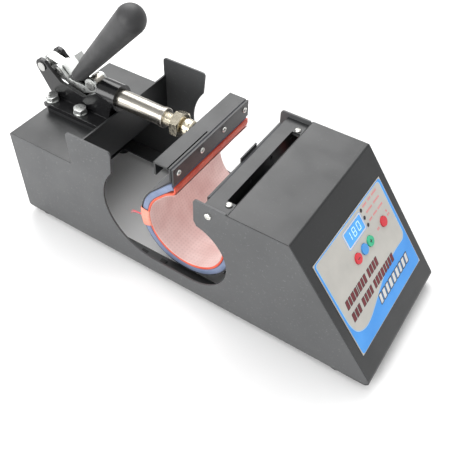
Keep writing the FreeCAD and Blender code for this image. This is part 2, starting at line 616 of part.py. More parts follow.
# ---------------------------------------------------------------- rear jaw, moved by the plunger
bar, hollow = channel("jaw_back_x", "rear_jaw_top", "rear_jaw_depth", "rear_jaw_height",
                      "jaw_length / 2", closed_ends=False)
slit = box("rear_jaw_x - jaw_wall - 1.6", "-jaw_length / 2 - 1", "rear_jaw_top - slit_depth", "slit",
           "jaw_length / 2", "slit_depth + 1")
jaw_holes = [rod("x", "rear_jaw_x - 3", y, REAR_SCREW_Z, "strip_hole", "5") for y in STRIP_SCREWS]
spindle_hole = rod("x", "jaw_back_x - 1", "0", "plunger_height", "jaw_bolt_radius + 2 * run_fit",
                   "jaw_wall + 2")
node("rear_jaw_bar", cut(cut(bar, hollow), slit, *jaw_holes, spindle_hole))
rear_plate = wide_box("rear_strip_x", "rear_strip_top - strip_height", "strip", "jaw_length / 2",
                      "strip_height")
node("rear_clamp_strip", cut(rear_plate, *[rod("x", "rear_strip_x - 1", y, REAR_SCREW_Z, "strip_hole", "6")
                                           for y in STRIP_SCREWS]))
node("rear_strip_screws", group(*[
    pan_screw("x", "rear_strip_x + strip", y, REAR_SCREW_Z, "strip_screw",
              "rear_strip_x + strip - rear_jaw_x + jaw_wall + 2", "2 * strip_screw", "strip_screw_head",
              forward=False)
    for y in STRIP_SCREWS]))
node("jaw_bolt", pan_screw("x", "jaw_back_x + jaw_wall", "0", "plunger_height", "jaw_bolt_radius",
                           "jaw_wall + 8", "jaw_bolt_radius + 1.6", "jaw_bolt_radius + 0.5", forward=False))
HEAD_X = "jaw_back_x - head"
NUT_X = "jaw_back_x - head - lock_nut"
node("spindle_head", cut(rod("x", HEAD_X, "0", "plunger_height", "head_radius", "head"),
                         rod("x", "jaw_back_x - 8.5", "0", "plunger_height", "jaw_bolt_radius + run_fit",
                             "10"),
                         rod("x", f"{HEAD_X} - 1", "0", "plunger_height", "spindle_radius", "4")))
node("lock_nut", cut(hexagon("x", NUT_X, "0", "plunger_height", "lock_nut_flats", "lock_nut"),
                     rod("x", f"{NUT_X} - 1", "0", "plunger_height", "spindle_radius + run_fit",
                         "lock_nut + 2")))
SPINDLE_X = "plunger_front - spindle_reach"
node("spindle", rod("x", SPINDLE_X, "0", "plunger_height", "spindle_radius",
                    f"{HEAD_X} + 3 - ({SPINDLE_X})"))

# ---------------------------------------------------------------- toggle clamp
PLUNGER_REAR = "pivot_c_x - link_front_radius"
FLAT_END = "pivot_c_x + tang_reach"
plunger_rod = rod("x", PLUNGER_REAR, "0", "plunger_height", "plunger_radius",
                  f"plunger_front - ({PLUNGER_REAR})")
flats = [box(f"{PLUNGER_REAR} - 1", y, "plunger_height - 20", f"{FLAT_END} - ({PLUNGER_REAR}) + 1",
             "20", "40") for y in ("tang_half", "-tang_half - 20")]
tang = cross_rod("pivot_c_x", "pivot_c_z", "tang_radius", "tang_half")
PIN_HOLE = "pin_radius + run_fit"
node("plunger", cut(fuse(cut(plunger_rod, *flats), tang),
                    rod("x", f"{SPINDLE_X} - 2", "0", "plunger_height", "spindle_radius + run_fit", "40"),
                    cross_rod("pivot_c_x", "pivot_c_z", "pin_radius", "tang_half + 1")))
node("plunger_pin", cross_rod("pivot_c_x", "pivot_c_z", "pin_radius", "tang_half + 0.2"))

node("clamp_spacer", cut(wide_box("clamp_rear + 2", "shelf_height", "clamp_length - 4",
                                  "clamp_width / 2 - 2", "spacer"), *bolt_holes))
flange = wide_box("clamp_rear", "clamp_floor", "clamp_length", "clamp_width / 2", "clamp_flange")
cheek_body = new_body("cheek_body")
pad(cheek_body, outline(cheek_body, "XZ_Plane", [
    ("clamp_rear + 1", "clamp_floor + 1"), ("pivot_a_x - arm_radius * 0.9", "pivot_a_z - 4"),
    ("pivot_a_x + 3", "pivot_a_z + arm_radius * 0.93"), ("pivot_b_x + 7", "plunger_height"),
    ("pivot_c_x - 8", "plunger_height - 6"), ("barrel_start + 2", "plunger_height + 6"),
    ("barrel_end - 2", "plunger_height + 2"), ("clamp_rear + clamp_length - 4", "clamp_floor + 1")]),
    "2 * (cheek_inner + cheek)")
nodes.pop("cheek_body")
cheek_gap = wide_box("pivot_a_x - 30", "clamp_floor + clamp_flange", "barrel_start - pivot_a_x + 30",
                     "cheek_inner", "60")
arm_ends = cut(cross_rod("pivot_a_x", "pivot_a_z", "arm_radius", "cheek_inner + cheek"),
               cross_rod("pivot_a_x", "pivot_a_z", "arm_radius + 1", "cheek_inner"))
barrel = rod("x", "barrel_start", "0", "plunger_height", "barrel_radius", "barrel_end - barrel_start")
bore = rod("x", "barrel_start - 1", "0", "plunger_height", "plunger_radius + run_fit",
           "barrel_end - barrel_start + 2")
node("clamp_base", cut(fuse(flange, cut(cheek_body, cheek_gap), arm_ends, barrel), bore, *bolt_holes,
                       cross_rod("pivot_a_x", "pivot_a_z", "pin_radius", "half_body")))

BOLT_SEAT = "clamp_floor + clamp_flange"
washers = [ring("z", x, y, BOLT_SEAT, "bolt_radius * 1.85", "bolt_radius + bolt_gap", "washer")
           for x, y in BOLTS]
NUT_SEAT = {"bolt_rear_x": "shelf_height - skin", "bolt_front_x": "shelf_height - skin - plate"}
bolts, clamp_nuts = [], []
for x, y in BOLTS:
    shank = f"{BOLT_SEAT} + washer - ({NUT_SEAT[x]}) + bolt_radius * 2.4"
    bolts.append(fuse(rod("z", x, y, f"{BOLT_SEAT} + washer - ({shank})", "bolt_radius", shank),
                      hexagon("z", x, y, f"{BOLT_SEAT} + washer", "bolt_radius * 3.25",
                              "bolt_radius * 1.35")))
    thickness = "bolt_radius * 1.6"
    clamp_nuts.append(cut(
        hexagon("z", x, y, f"{NUT_SEAT[x]} - {thickness}", "bolt_radius * 3.25", thickness),
        rod("z", x, y, f"{NUT_SEAT[x]} - {thickness} - 1", "bolt_radius + run_fit", f"{thickness} + 2")))
node("clamp_bolts", group(*bolts))
node("clamp_nuts_and_washers", group(*clamp_nuts, *washers))

AB_ANGLE = "atan2(pivot_b_z - pivot_a_z; pivot_b_x - pivot_a_x)"
AB_LENGTH = "sqrt((pivot_b_x - pivot_a_x) ^ 2 + (pivot_b_z - pivot_a_z) ^ 2)"
shank_bar = strap("grip_x", "grip_z", "grip_angle", "-shank_root", "shank_root + shank_length",
                  "shank_half", "-lever_half", "2 * lever_half")
node("handle_lever", cut(
    fuse(cross_rod("pivot_a_x", "pivot_a_z", "lever_radius", "lever_half"),
         cross_rod("pivot_b_x", "pivot_b_z", "lever_radius", "lever_half"),
         strap("pivot_a_x", "pivot_a_z", AB_ANGLE, "0", AB_LENGTH, "lever_radius - 0.3", "-lever_half",
               "2 * lever_half"), shank_bar),
    cross_rod("pivot_a_x", "pivot_a_z", PIN_HOLE, "20"),
    cross_rod("pivot_b_x", "pivot_b_z", "pin_radius", "20")))
ARM_HALF = "cheek_inner + cheek"
node("pivot_pin", fuse(cross_rod("pivot_a_x", "pivot_a_z", "pin_radius", ARM_HALF),
                       cut(cross_rod("pivot_a_x", "pivot_a_z", "5", f"{ARM_HALF} + 1.4"),
                           cross_rod("pivot_a_x", "pivot_a_z", "6", ARM_HALF))))
node("pivot_spacers", group(*[
    ring("y", "pivot_a_x", y, "pivot_a_z", "pin_radius + 1.1", "pin_radius + run_fit",
         "cheek_inner - tang_half")
    for y in ("tang_half", "-cheek_inner")]))
node("lever_pin", fuse(cross_rod("pivot_b_x", "pivot_b_z", "pin_radius", "link_outer + 0.1"),
                       cut(cross_rod("pivot_b_x", "pivot_b_z", "5", "link_outer + 1.5"),
                           cross_rod("pivot_b_x", "pivot_b_z", "6", "link_outer + 0.1"))))


def along_grip(item, start):
    """Turn a cone or sphere so that its z axis runs up the grip, and start it this far along."""
    x = f"grip_x + ({start}) * cos(grip_angle)"
    z = f"grip_z + ({start}) * sin(grip_angle)"
    return put(tilt(item, "grip_angle - 90"), x, "0", z)


STRAIGHT = "grip_length - grip_tip_radius"
grip_shaft = along_grip(new("Part::Cone", {"Radius1": "grip_rear_radius", "Radius2": "grip_tip_radius",
                                           "Height": STRAIGHT}), "0")
grip_tip = along_grip(new("Part::Sphere", {"Radius": "grip_tip_radius"}), STRAIGHT)
node("grip", cut(fuse(grip_shaft, grip_tip), shank_bar))

BC_X, BC_Z = "(pivot_c_x - pivot_b_x)", "(pivot_c_z - pivot_b_z)"
BC_LENGTH = f"sqrt({BC_X} ^ 2 + {BC_Z} ^ 2)"
BC_ANGLE = f"atan2({BC_Z}; {BC_X})"


def toggle_link(name, side):
    """A link plate, bowed down between its two pivots to pass under the grip."""
    middle = f"{side} * (link_inner + link / 2)"
    body = doc.addObject("PartDesign::Body", f"{name}_plate")
    put(tilt(body, BC_ANGLE), "pivot_b_x", middle, "pivot_b_z")
    pad(body, outline(body, "XZ_Plane", [
        ("-1", "-link_rear_radius * 0.98"), (f"0.18 * {BC_LENGTH}", "-link_rear_radius - 0.5"),
        (f"0.40 * {BC_LENGTH}", "-link_rear_radius - 6"), (f"0.76 * {BC_LENGTH}", "-link_rear_radius - 6"),
        (BC_LENGTH, "-link_front_radius * 0.98"), (f"{BC_LENGTH} - 4", "link_front_radius * 0.8"),
        (f"0.80 * {BC_LENGTH}", "-3.5"), (f"0.30 * {BC_LENGTH}", "-3.5"),
        ("link_rear_radius * 0.7", "link_rear_radius * 0.65"), ("-1", "link_rear_radius * 0.98")]), "link")
    near_edge = f"{middle} - link / 2"
    bosses = [rod("y", "pivot_b_x", near_edge, "pivot_b_z", "link_rear_radius", "link"),
              rod("y", "pivot_c_x", near_edge, "pivot_c_z", "link_front_radius", "link")]
    node(name, cut(fuse(body, *bosses), cross_rod("pivot_b_x", "pivot_b_z", PIN_HOLE, "20"),
                   cross_rod("pivot_c_x", "pivot_c_z", "pin_radius", "20")))


toggle_link("toggle_link_near", -1)
toggle_link("toggle_link_far", 1)
node("link_rivets", group(*[
    pan_screw("y", "pivot_c_x", f"{side} * link_outer", "pivot_c_z", "pin_radius", "link", "5", "1.5",
              forward=side < 0) for side in (-1, 1)]))

# ---------------------------------------------------------------- control panel
label_blank = panel_box("label_start", "-label_half_width", "0", "label_end - label_start",
                        "2 * label_half_width", "label")
node("panel_label", cut(label_blank, *panel_holes))
BOARD_TOP = "-(board_depth - board)"
BOARD_START = "window_start - board_lead"
board_blank = panel_box(BOARD_START, "board_y", "-board_depth", "board_length", "board_width", "board")
STANDOFFS = [(f"{BOARD_START} + {down}", f"board_y + {across}")
             for down in ("standoff_in", "board_length - standoff_in")
             for across in ("standoff_in", "board_width - standoff_in")]
node("control_board", cut(board_blank, *[panel_rod(down, y, "-30", "1.6", "40")
                                         for down, y in STANDOFFS]))
node("board_standoffs", group(*[
    cut(panel_rod(down, y, BOARD_TOP, "standoff_radius", "board_depth - board - skin"),
        panel_rod(down, y, BOARD_TOP, "1.4", "5")) for down, y in STANDOFFS]))
node("display_module", panel_box("window_start", "-window_half_width", BOARD_TOP,
                                 "window_end - window_start", "2 * window_half_width",
                                 f"label - ({BOARD_TOP})"))
node("indicator_leds", group(*[
    fuse(panel_rod(down, "led_y", BOARD_TOP, "led_radius", f"label - ({BOARD_TOP})"),
         panel_rod(down, "led_y", BOARD_TOP, "led_radius + 0.8", "1")) for down in LEDS]))
SWITCH_RISE = "3"
node("tact_switches", group(*[
    panel_box("button_row - 3", f"{y} - 3", BOARD_TOP, "6", "6", SWITCH_RISE)
    for y in BUTTONS.values()]))
BUTTON_FOOT = f"{BOARD_TOP} + {SWITCH_RISE} + 0.8"
for name, y in BUTTONS.items():
    cap = panel_rod("button_row", y, "-skin - 3", "button_radius", "skin + 3 + label + button_rise")
    collar = panel_rod("button_row", y, "-skin - 3.2", "button_radius + 0.8", "2.2")
    stem = panel_rod("button_row", y, BUTTON_FOOT, "2", f"-skin - 3 - ({BUTTON_FOOT})")
    node(name, fuse(cap, collar, stem))

# ---------------------------------------------------------------- electrics
DECK = "2 * skin"
core = box("baffle_x + core_x", "core_y", DECK, "core_length", "core_width", "core_height")
coil = box("baffle_x + core_x - coil_overhang", "core_y + (core_width - coil_width) / 2",
           f"{DECK} + (core_height - coil_height) / 2", "core_length + 2 * coil_overhang",
           "coil_width", "coil_height")
node("transformer", fuse(core, coil))
relay = box("baffle_x + relay_x", "relay_y", DECK, "relay_length", "relay_width", "relay_height")
relay_slots = [rod("z", f"baffle_x + relay_x + {along}", "relay_y + relay_width / 2", f"{DECK} - 1",
                   "relay_hole", "relay_height + 2")
               for along in ("relay_hole_in", "relay_length - relay_hole_in")]
node("solid_state_relay", cut(relay, *relay_slots))
TERMINAL_X = "baffle_x + terminal_x"
node("terminal_block", box(TERMINAL_X, f"{GROMMET_Y} - terminal_width / 2", DECK, "terminal_length",
                           "terminal_width", "terminal_height"))
inlet_outer = entry_box("-inlet_rim", "inlet_y", "inlet_rim", "inlet_half_width + entry_flange",
                        "inlet_half_height + entry_flange")
inlet_body = entry_box("-1", "inlet_y", "inlet_depth + 1", "inlet_half_width", "inlet_half_height")
socket = entry_box("-inlet_rim - 1", "inlet_y", "inlet_rim + 1 + socket_depth", "socket_half_width",
                   "socket_half_height")
blades = [entry_box("socket_depth - blade_length", f"inlet_y + {place} * blade_pitch", "blade_length",
                    "blade / 2", "blade_half_height") for place in (-1, 0, 1)]
node("mains_inlet", fuse(cut(fuse(inlet_outer, inlet_body), socket), *blades))
switch_face = entry_box("-switch_rim", "switch_y", "switch_rim", "switch_half_width + switch_flange",
                        "switch_half_height + switch_flange")
switch_body = entry_box("-1", "switch_y", "switch_depth + 1", "switch_half_width", "switch_half_height")
rocker_well = entry_box("-switch_rim - 1", "switch_y", "switch_rim + 1 + well_depth",
                        "rocker_half_width + rocker_gap", "rocker_half_height + rocker_lift")
node("power_switch", cut(fuse(switch_face, switch_body), rocker_well))
rocker_drum = rod("y", "rocker_x", "switch_y - rocker_half_width", "entry_height", "rocker_radius",
                  "2 * rocker_half_width")
rocker_face = strap("rocker_x", "entry_height", "180 - rocker_tilt", "0", "rocker_reach",
                    "rocker_radius + 0.4", "switch_y - rocker_half_width", "2 * rocker_half_width")
node("power_rocker", fuse(rocker_drum, rocker_face))


def bent_path(points, closest):
    """Straight runs joined by tangent arcs, each as large as its two runs allow."""
    edges = []
    start = points[0]
    for before, corner, after in zip(points, points[1:], points[2:]):
        back = (before - corner).normalize()
        ahead = (after - corner).normalize()
        half_turn = (math.pi - back.getAngle(ahead)) / 2
        reach = 0.45 * min(before.distanceToPoint(corner), after.distanceToPoint(corner))
        radius = reach / math.tan(half_turn)
        if radius < closest:
            raise RuntimeError(f"bend of {radius:.1f} mm is tighter than {closest} mm")
        print(f"bend radius {radius:.1f}")
        enter = corner + back * reach
        leave = corner + ahead * reach
        inward = (back + ahead).normalize()
        middle = corner + inward * (radius / math.cos(half_turn) - radius)
        edges.append(Part.LineSegment(start, enter).toShape())
        edges.append(Part.Arc(enter, middle, leave).toShape())
        start = leave
    edges.append(Part.LineSegment(start, points[-1]).toShape())
    return Part.Wire(edges)


def lead(points, radius, closest):
    """A round lead along a route given by chassis points written as expressions."""
    shift = Vector(-value("origin_x"), 0, value("foot_height"))
    route = [Vector(value(x), value(y), value(z)) + shift for x, y, z in points]
    path = bent_path(route, closest)
    profile = Part.Wire(Part.makeCircle(radius, route[0], route[1] - route[0]))
    tube = path.makePipeShell([profile], True, True)
    expected = path.Length * math.pi * radius ** 2
    if abs(tube.Volume / expected - 1) > 0.01:
        raise RuntimeError("the swept lead has lost part of its volume")
    print(f"lead length {path.Length:.0f}")
    item = doc.addObject("Part::Feature", f"Piece{next(scratch)}")
    item.Shape = tube
    return item


HARNESS_RADIUS = 3
node("mains_harness", lead([
    ("inlet_depth", "inlet_y", "entry_height"), ("42", "inlet_y - 1", "entry_height - 2"),
    ("62", "inlet_y - 9", "entry_height - 14"), ("84", "inlet_y - 23", "entry_height - 27"),
    ("112", "-harness_y + 1", f"{HARNESS_Z} + 1"), ("140", "-harness_y", HARNESS_Z),
    ("206", "-harness_y", HARNESS_Z), ("238", "-harness_y + 1", f"{HARNESS_Z} + 1"),
    ("baffle_x - 14", GROMMET_Y, GROMMET_Z), (TERMINAL_X, GROMMET_Y, GROMMET_Z)],
    HARNESS_RADIUS, 5 * HARNESS_RADIUS))
HARNESS_CLIPS = ["154", "180"]
clips = []
for x in HARNESS_CLIPS:
    loop = ring("x", x, "-harness_y", HARNESS_Z, f"{HARNESS_RADIUS} + 0.9", f"{HARNESS_RADIUS} + 0.1", "8")
    foot = box(x, "-harness_y", "skin", "8", "12", "0.8")
    clips.append(fuse(loop, foot))
node("harness_clips", group(*clips))
node("grommets", group(*[
    fuse(ring("x", "baffle_x", y, z, hole, f"{hole} - 1.1", "skin"),
         ring("x", "baffle_x + skin", y, z, f"{hole} + 1.2", f"{hole} - 1.1", "1.4"))
    for y, z, hole in GROMMETS]))
LEAD_RADIUS = 1.3
LEAD_START_X = "wrap_x + 46"
LEAD_START_Z = "wrap_z + sqrt(wrap_outer ^ 2 - 46 ^ 2) - 0.6"
heater_leads = []
for shift in ("-1.7", "1.7"):
    heater_leads.append(lead([
        (LEAD_START_X, f"54 + {shift}", LEAD_START_Z),
        (f"{LEAD_START_X} + 3", f"54 + {shift}", f"{LEAD_START_Z} + 10"),
        ("baffle_x - 6", f"lead_y + {shift}", f"{LEAD_Z} - 3"),
        ("baffle_x + 6", f"lead_y + {shift}", LEAD_Z),
        ("baffle_x + 20", f"54 + {shift}", f"{LEAD_Z} - 8"),
        ("baffle_x + 30", f"48 + {shift}", f"{LEAD_Z} - 28"),
        ("baffle_x + 33", f"44 + {shift}", f"{LEAD_Z} - 56"),
        ("baffle_x + 34", f"42 + {shift}", f"{DECK} + 22")], LEAD_RADIUS, 3 * LEAD_RADIUS))
node("heater_leads", group(*heater_leads))

# ---------------------------------------------------------------- feet and their screws
feet = [cut(rod("z", x, y, "-foot_height", "foot_radius", "foot_height"),
            rod("z", x, y, "-foot_height - 1", "3.6", "4"),
            rod("z", x, y, "-foot_height", "screw_hole", "foot_height + 1")) for x, y in FEET]
node("feet", group(*feet))
foot_screws = [pan_screw("z", x, y, "-foot_height + 3", "screw_radius", "foot_height - 3 + 2 * skin + 2",
                         "3.2", "2") for x, y in FEET]
cover_screws = [pan_screw("z", x, y, "0", "screw_radius", "2 * skin + 3", "3.2", "1.8")
                for x, y in COVER_SCREWS]
node("base_screws", group(*foot_screws, *cover_screws))

# ---------------------------------------------------------------- check and write
doc.recompute()
failed = [item.Name for item in doc.Objects if {"Invalid", "Error"} & set(item.State)]
if failed:
    raise RuntimeError(f"objects that failed: {failed}")
for name, item in nodes.items():
    if item.Shape.isNull() or not item.Shape.isValid() or not item.Shape.Solids:
        raise RuntimeError(f"{name} has no sound solid")
os.makedirs("parts", exist_ok=True)
for name, item in nodes.items():
    item.Shape.exportStep(f"parts/{name}.step")
print(f"{len(nodes)} sub-parts written")
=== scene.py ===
"""Mug heat press: the looks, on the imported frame."""
import json
import math

import bmesh
import bpy
from mathutils import Matrix, Vector, noise


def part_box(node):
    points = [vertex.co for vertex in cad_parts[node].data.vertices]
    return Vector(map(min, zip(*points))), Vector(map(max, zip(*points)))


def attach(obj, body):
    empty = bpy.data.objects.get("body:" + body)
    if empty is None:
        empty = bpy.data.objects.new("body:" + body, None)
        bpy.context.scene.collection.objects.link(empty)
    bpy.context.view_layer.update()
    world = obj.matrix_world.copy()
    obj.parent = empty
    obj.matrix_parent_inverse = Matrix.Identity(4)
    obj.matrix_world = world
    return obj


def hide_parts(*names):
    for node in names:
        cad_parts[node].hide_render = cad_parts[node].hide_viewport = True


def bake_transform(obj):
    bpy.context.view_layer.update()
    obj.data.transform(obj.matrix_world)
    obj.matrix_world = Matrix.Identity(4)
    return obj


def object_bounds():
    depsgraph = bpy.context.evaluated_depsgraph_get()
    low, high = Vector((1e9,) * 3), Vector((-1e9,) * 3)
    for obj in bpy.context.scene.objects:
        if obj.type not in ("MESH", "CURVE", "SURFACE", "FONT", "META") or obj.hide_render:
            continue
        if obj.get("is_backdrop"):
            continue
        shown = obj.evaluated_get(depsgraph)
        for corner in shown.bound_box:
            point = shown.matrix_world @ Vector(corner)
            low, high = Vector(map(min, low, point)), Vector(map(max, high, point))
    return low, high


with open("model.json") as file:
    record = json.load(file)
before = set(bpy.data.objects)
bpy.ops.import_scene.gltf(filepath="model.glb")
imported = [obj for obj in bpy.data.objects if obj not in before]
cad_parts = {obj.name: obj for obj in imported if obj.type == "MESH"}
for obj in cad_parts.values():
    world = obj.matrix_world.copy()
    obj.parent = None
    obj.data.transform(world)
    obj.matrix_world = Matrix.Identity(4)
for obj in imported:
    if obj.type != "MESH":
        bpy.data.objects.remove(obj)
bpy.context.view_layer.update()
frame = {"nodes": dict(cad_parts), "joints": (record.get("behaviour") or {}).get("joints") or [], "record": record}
scene = bpy.context.scene
nodes = frame["nodes"]
MM = 0.001

# ---------------------------------------------------------------- places read from the frame
seat = next(m for m in frame["record"]["mounts"] if m["name"] == "mug_seat")
AXIS_X, AXIS_Z = seat["pos_m"][0], seat["pos_m"][2]
MUG_R = seat["dims"]["r_mm"] * MM
R_BAND = AXIS_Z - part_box("wrap_band")[0].z
R_SPONGE = AXIS_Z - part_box("wrap_sponge")[0].z
R_MAT = AXIS_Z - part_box("heating_mat")[0].z
R_LINER = AXIS_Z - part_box("wrap_liner")[0].z
WRAP_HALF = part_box("wrap_band")[1].y
TAB_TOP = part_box("wrap_band")[1].z
REAR_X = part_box("rear_jaw_bar")[1].x
FRONT_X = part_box("front_crossbar")[0].x
REAR_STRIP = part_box("rear_clamp_strip")
BAND_T = R_BAND - R_SPONGE
REAR_MOUTH = REAR_X + BAND_T
FRONT_MOUTH = FRONT_X - BAND_T

press = next(j for j in frame["joints"] if j["name"] == "down_press")
NORMAL = Vector(press["axis"]).normalized()
DOWN = Vector((NORMAL.z, 0, -NORMAL.x))
LABEL_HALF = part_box("panel_label")[1].y
label_points = [v.co for v in nodes["panel_label"].data.vertices]
LABEL_FACE = max(map(NORMAL.dot, label_points))
LABEL_START = min(map(DOWN.dot, label_points))
LABEL_LENGTH = max(map(DOWN.dot, label_points)) - LABEL_START


def on_label(s, y, lift=0.0):
    """A point on the label: s down its slope from its top edge, y across it, lift above its face."""
    return DOWN * (LABEL_START + s) + NORMAL * (LABEL_FACE + lift) + Vector((0, y, 0))


# ---------------------------------------------------------------- materials
def srgb(r, g, b):
    def linear(c):
        c /= 255
        return c / 12.92 if c <= 0.04045 else ((c + 0.055) / 1.055) ** 2.4
    return (linear(r), linear(g), linear(b), 1.0)


class Shader:
    """A node material that is built input by input."""

    def __init__(self, name, **sockets):
        self.material = bpy.data.materials.new(name)
        self.material.use_nodes = True
        self.tree = self.material.node_tree
        self.tree.nodes.clear()
        self.bsdf = self.tree.nodes.new("ShaderNodeBsdfPrincipled")
        output = self.tree.nodes.new("ShaderNodeOutputMaterial")
        self.tree.links.new(self.bsdf.outputs[0], output.inputs[0])
        self.place = self.tree.nodes.new("ShaderNodeTexCoord").outputs["Object"]
        for socket, number in sockets.items():
            self.bsdf.inputs[socket.replace("_", " ")].default_value = number

    def add(self, kind, inputs, output=0, **settings):
        made = self.tree.nodes.new("ShaderNode" + kind)
        for name, setting in settings.items():
            setattr(made, name, setting)
        for name, source in inputs.items():
            if isinstance(source, bpy.types.NodeSocket):
                self.tree.links.new(source, made.inputs[name])
            else:
                made.inputs[name].default_value = source
        return made.outputs[output]

    def scaled(self, factors, place=None):
        return self.add("Mapping", {"Vector": place or self.place, "Scale": factors})

    def noise(self, scale, detail=3.0, place=None, rough=0.55):
        return self.add("TexNoise", {"Vector": place or self.place, "Scale": scale, "Detail": detail,
                                     "Roughness": rough})

    def remap(self, source, low, high, start=0.3, end=0.7):
        return self.add("MapRange", {"Value": source, "From Min": start, "From Max": end,
                                     "To Min": low, "To Max": high})

    def blend(self, factor, first, second):
        made = self.tree.nodes.new("ShaderNodeMix")
        made.data_type = "RGBA"
        for index, source in ((0, factor), (6, first), (7, second)):
            if isinstance(source, bpy.types.NodeSocket):
                self.tree.links.new(source, made.inputs[index])
            else:
                made.inputs[index].default_value = source
        return made.outputs[2]

    def colour(self, source):
        self.tree.links.new(source, self.bsdf.inputs["Base Color"])

    def roughness(self, source):
        self.tree.links.new(source, self.bsdf.inputs["Roughness"])

    def bump(self, height, distance, strength=1.0, under=None):
        inputs = {"Height": height, "Distance": distance, "Strength": strength}
        if under is not None:
            inputs["Normal"] = under
        made = self.add("Bump", inputs)
        self.tree.links.new(made, self.bsdf.inputs["Normal"])
        return made

    def edge(self, radius, samples=4):
        """The rounded normal along edges, and how far it leans from the flat one."""
        rounded = self.add("Bevel", {"Radius": radius}, samples=samples)
        flat = self.add("NewGeometry", {}, output="Normal")
        along = self.add("VectorMath", {0: rounded, 1: flat}, output="Value", operation="DOT_PRODUCT")
        return rounded, self.remap(along, 1.0, 0.0, 0.75, 0.995)


def coat(name, dark, light, rough, peel, edge_highlight):
    """Powder coat: a fine orange peel, a little dust, and a paler line along the edges as painted highlight."""
    s = Shader(name, IOR=1.5)
    rounded, edge = s.edge(0.5 * MM)
    cloud = s.noise(14, 4)
    dust = s.noise(420, 2)
    shade = s.blend(s.remap(cloud, 0, 1), dark, light)
    fleck = s.remap(dust, 0, 0.35, 0.62, 0.76)
    shade = s.blend(fleck, shade, tuple(min(1, c * 2.6) for c in light[:3]) + (1,))
    # painted highlight: a paler line along the edges, broken up by noise
    highlight_line = s.add("Math", {0: edge, 1: s.remap(s.noise(160, 3), 0.25, 1.0)}, operation="MULTIPLY")
    s.colour(s.blend(s.add("Math", {0: highlight_line, 1: 0.55}, operation="MULTIPLY"), shade, edge_highlight))
    s.roughness(s.remap(s.noise(26, 4), rough - 0.05, rough + 0.07))
    s.bump(s.noise(1500, 2), 0.06 * MM, peel, rounded)
    return s.material


def metal(name, tint, dark, rough, grain, lines=0.25, spots=0.2):
    """Plated or turned metal: fine lines along the grain, faint stains, and a painted highlight along the edges."""
    s = Shader(name, Metallic=1.0)
    rounded, edge = s.edge(0.3 * MM)
    brushed = s.noise(300, 4, s.scaled(grain))
    stain = s.noise(70, 5)
    shade = s.blend(s.remap(stain, 0, spots * 2, 0.45, 0.75), tint, dark)
    # painted highlight: the colour is lighter along the edges
    s.colour(s.blend(s.add("Math", {0: edge, 1: 0.4}, operation="MULTIPLY"), shade,
                     tuple(min(1, c * 1.25) for c in tint[:3]) + (1,)))
    s.roughness(s.remap(brushed, rough - 0.06, rough + 0.1))
    s.bump(brushed, 0.03 * MM, lines, rounded)
    return s.material


def moulded(name, tint, light, rough, texture=900, depth=0.05, sheen=0.0, spread=1.0):
    """Moulded plastic or rubber: a fine spark-eroded texture with soft mottling, and a painted highlight along the
    edges.
    """
    s = Shader(name, IOR=1.48, Sheen_Weight=sheen, Sheen_Roughness=0.5)
    rounded, edge = s.edge(0.35 * MM)
    shade = s.blend(s.remap(s.noise(38, 5), 0, spread), tint, light)
    # painted highlight: the colour is lighter along the edges
    s.colour(s.blend(s.add("Math", {0: edge, 1: 0.3}, operation="MULTIPLY"), shade,
                     tuple(min(1, c * 1.5 + 0.01) for c in light[:3]) + (1,)))
    s.roughness(s.remap(s.noise(90, 3), rough - 0.06, rough + 0.08))
    s.bump(s.noise(texture, 3), depth * MM, 0.5, rounded)
    return s.material


def woven(name, tint, light, rough, pitch, depth, sheen=0.3, stains=None):
    """Cloth with a plain weave, laid out on the piece's own flat map in metres."""
    s = Shader(name, Sheen_Weight=sheen, Sheen_Roughness=0.4, IOR=1.45)
    flat = s.add("UVMap", {}, uv_map="flat")
    across = s.add("TexWave", {"Vector": flat, "Scale": 1 / (pitch * 20), "Distortion": 0.4, "Detail": 1.0},
                   output=1, bands_direction="X")
    along = s.add("TexWave", {"Vector": flat, "Scale": 1 / (pitch * 20), "Distortion": 0.4, "Detail": 1.0},
                  output=1, bands_direction="Y")
    threads = s.add("Math", {0: across, 1: along}, operation="MULTIPLY")
    mottled = s.blend(s.remap(s.noise(45, 5), 0, 1), tint, light)
    if stains:
        mottled = s.blend(s.remap(s.noise(17, 6), 0, 0.75, 0.48, 0.72), mottled, stains)
    s.colour(s.blend(s.remap(threads, 0.0, 0.28, 0.1, 0.9), mottled,
                     tuple(c * 0.72 for c in tint[:3]) + (1,)))
    s.roughness(s.remap(s.noise(70, 3), rough - 0.05, rough + 0.05))
    first = s.bump(threads, depth * MM, 0.6)
    s.bump(s.noise(110, 4), 0.25 * MM, 0.5, first)
    return s.material


def foam(name, tint, light, rough, pore, depth):
    """Closed-cell sponge: small pits, painted darker towards their middles as painted shade, and a mottled skin."""
    s = Shader(name, Sheen_Weight=0.15, IOR=1.42)
    pits = s.add("TexVoronoi", {"Vector": s.place, "Scale": pore}, output="Distance")
    mottled = s.blend(s.remap(s.noise(50, 5), 0, 1), tint, light)
    # painted shade: the colour darkens towards the middle of each pit
    s.colour(s.blend(s.remap(pits, 0.35, 0, 0.0, 0.35), mottled, tuple(c * 0.5 for c in tint[:3]) + (1,)))
    s.roughness(s.remap(s.noise(60, 3), rough - 0.05, rough + 0.06))
    s.bump(pits, depth * MM, 0.5)
    return s.material


def lens(name, tint, dark, rough, glow=0.0):
    """A clear or glowing moulding over a dark ground."""
    s = Shader(name, IOR=1.5, Coat_Weight=0.6, Coat_Roughness=0.08)
    shade = s.blend(s.remap(s.noise(130, 4), 0, 1), tint, dark)
    s.colour(shade)
    if glow:
        s.tree.links.new(shade, s.bsdf.inputs["Emission Color"])
        s.bsdf.inputs["Emission Strength"].default_value = glow
    s.roughness(s.remap(s.noise(200, 3), rough - 0.04, rough + 0.05))
    s.bump(s.noise(700, 2), 0.02 * MM, 0.3)
    return s.material


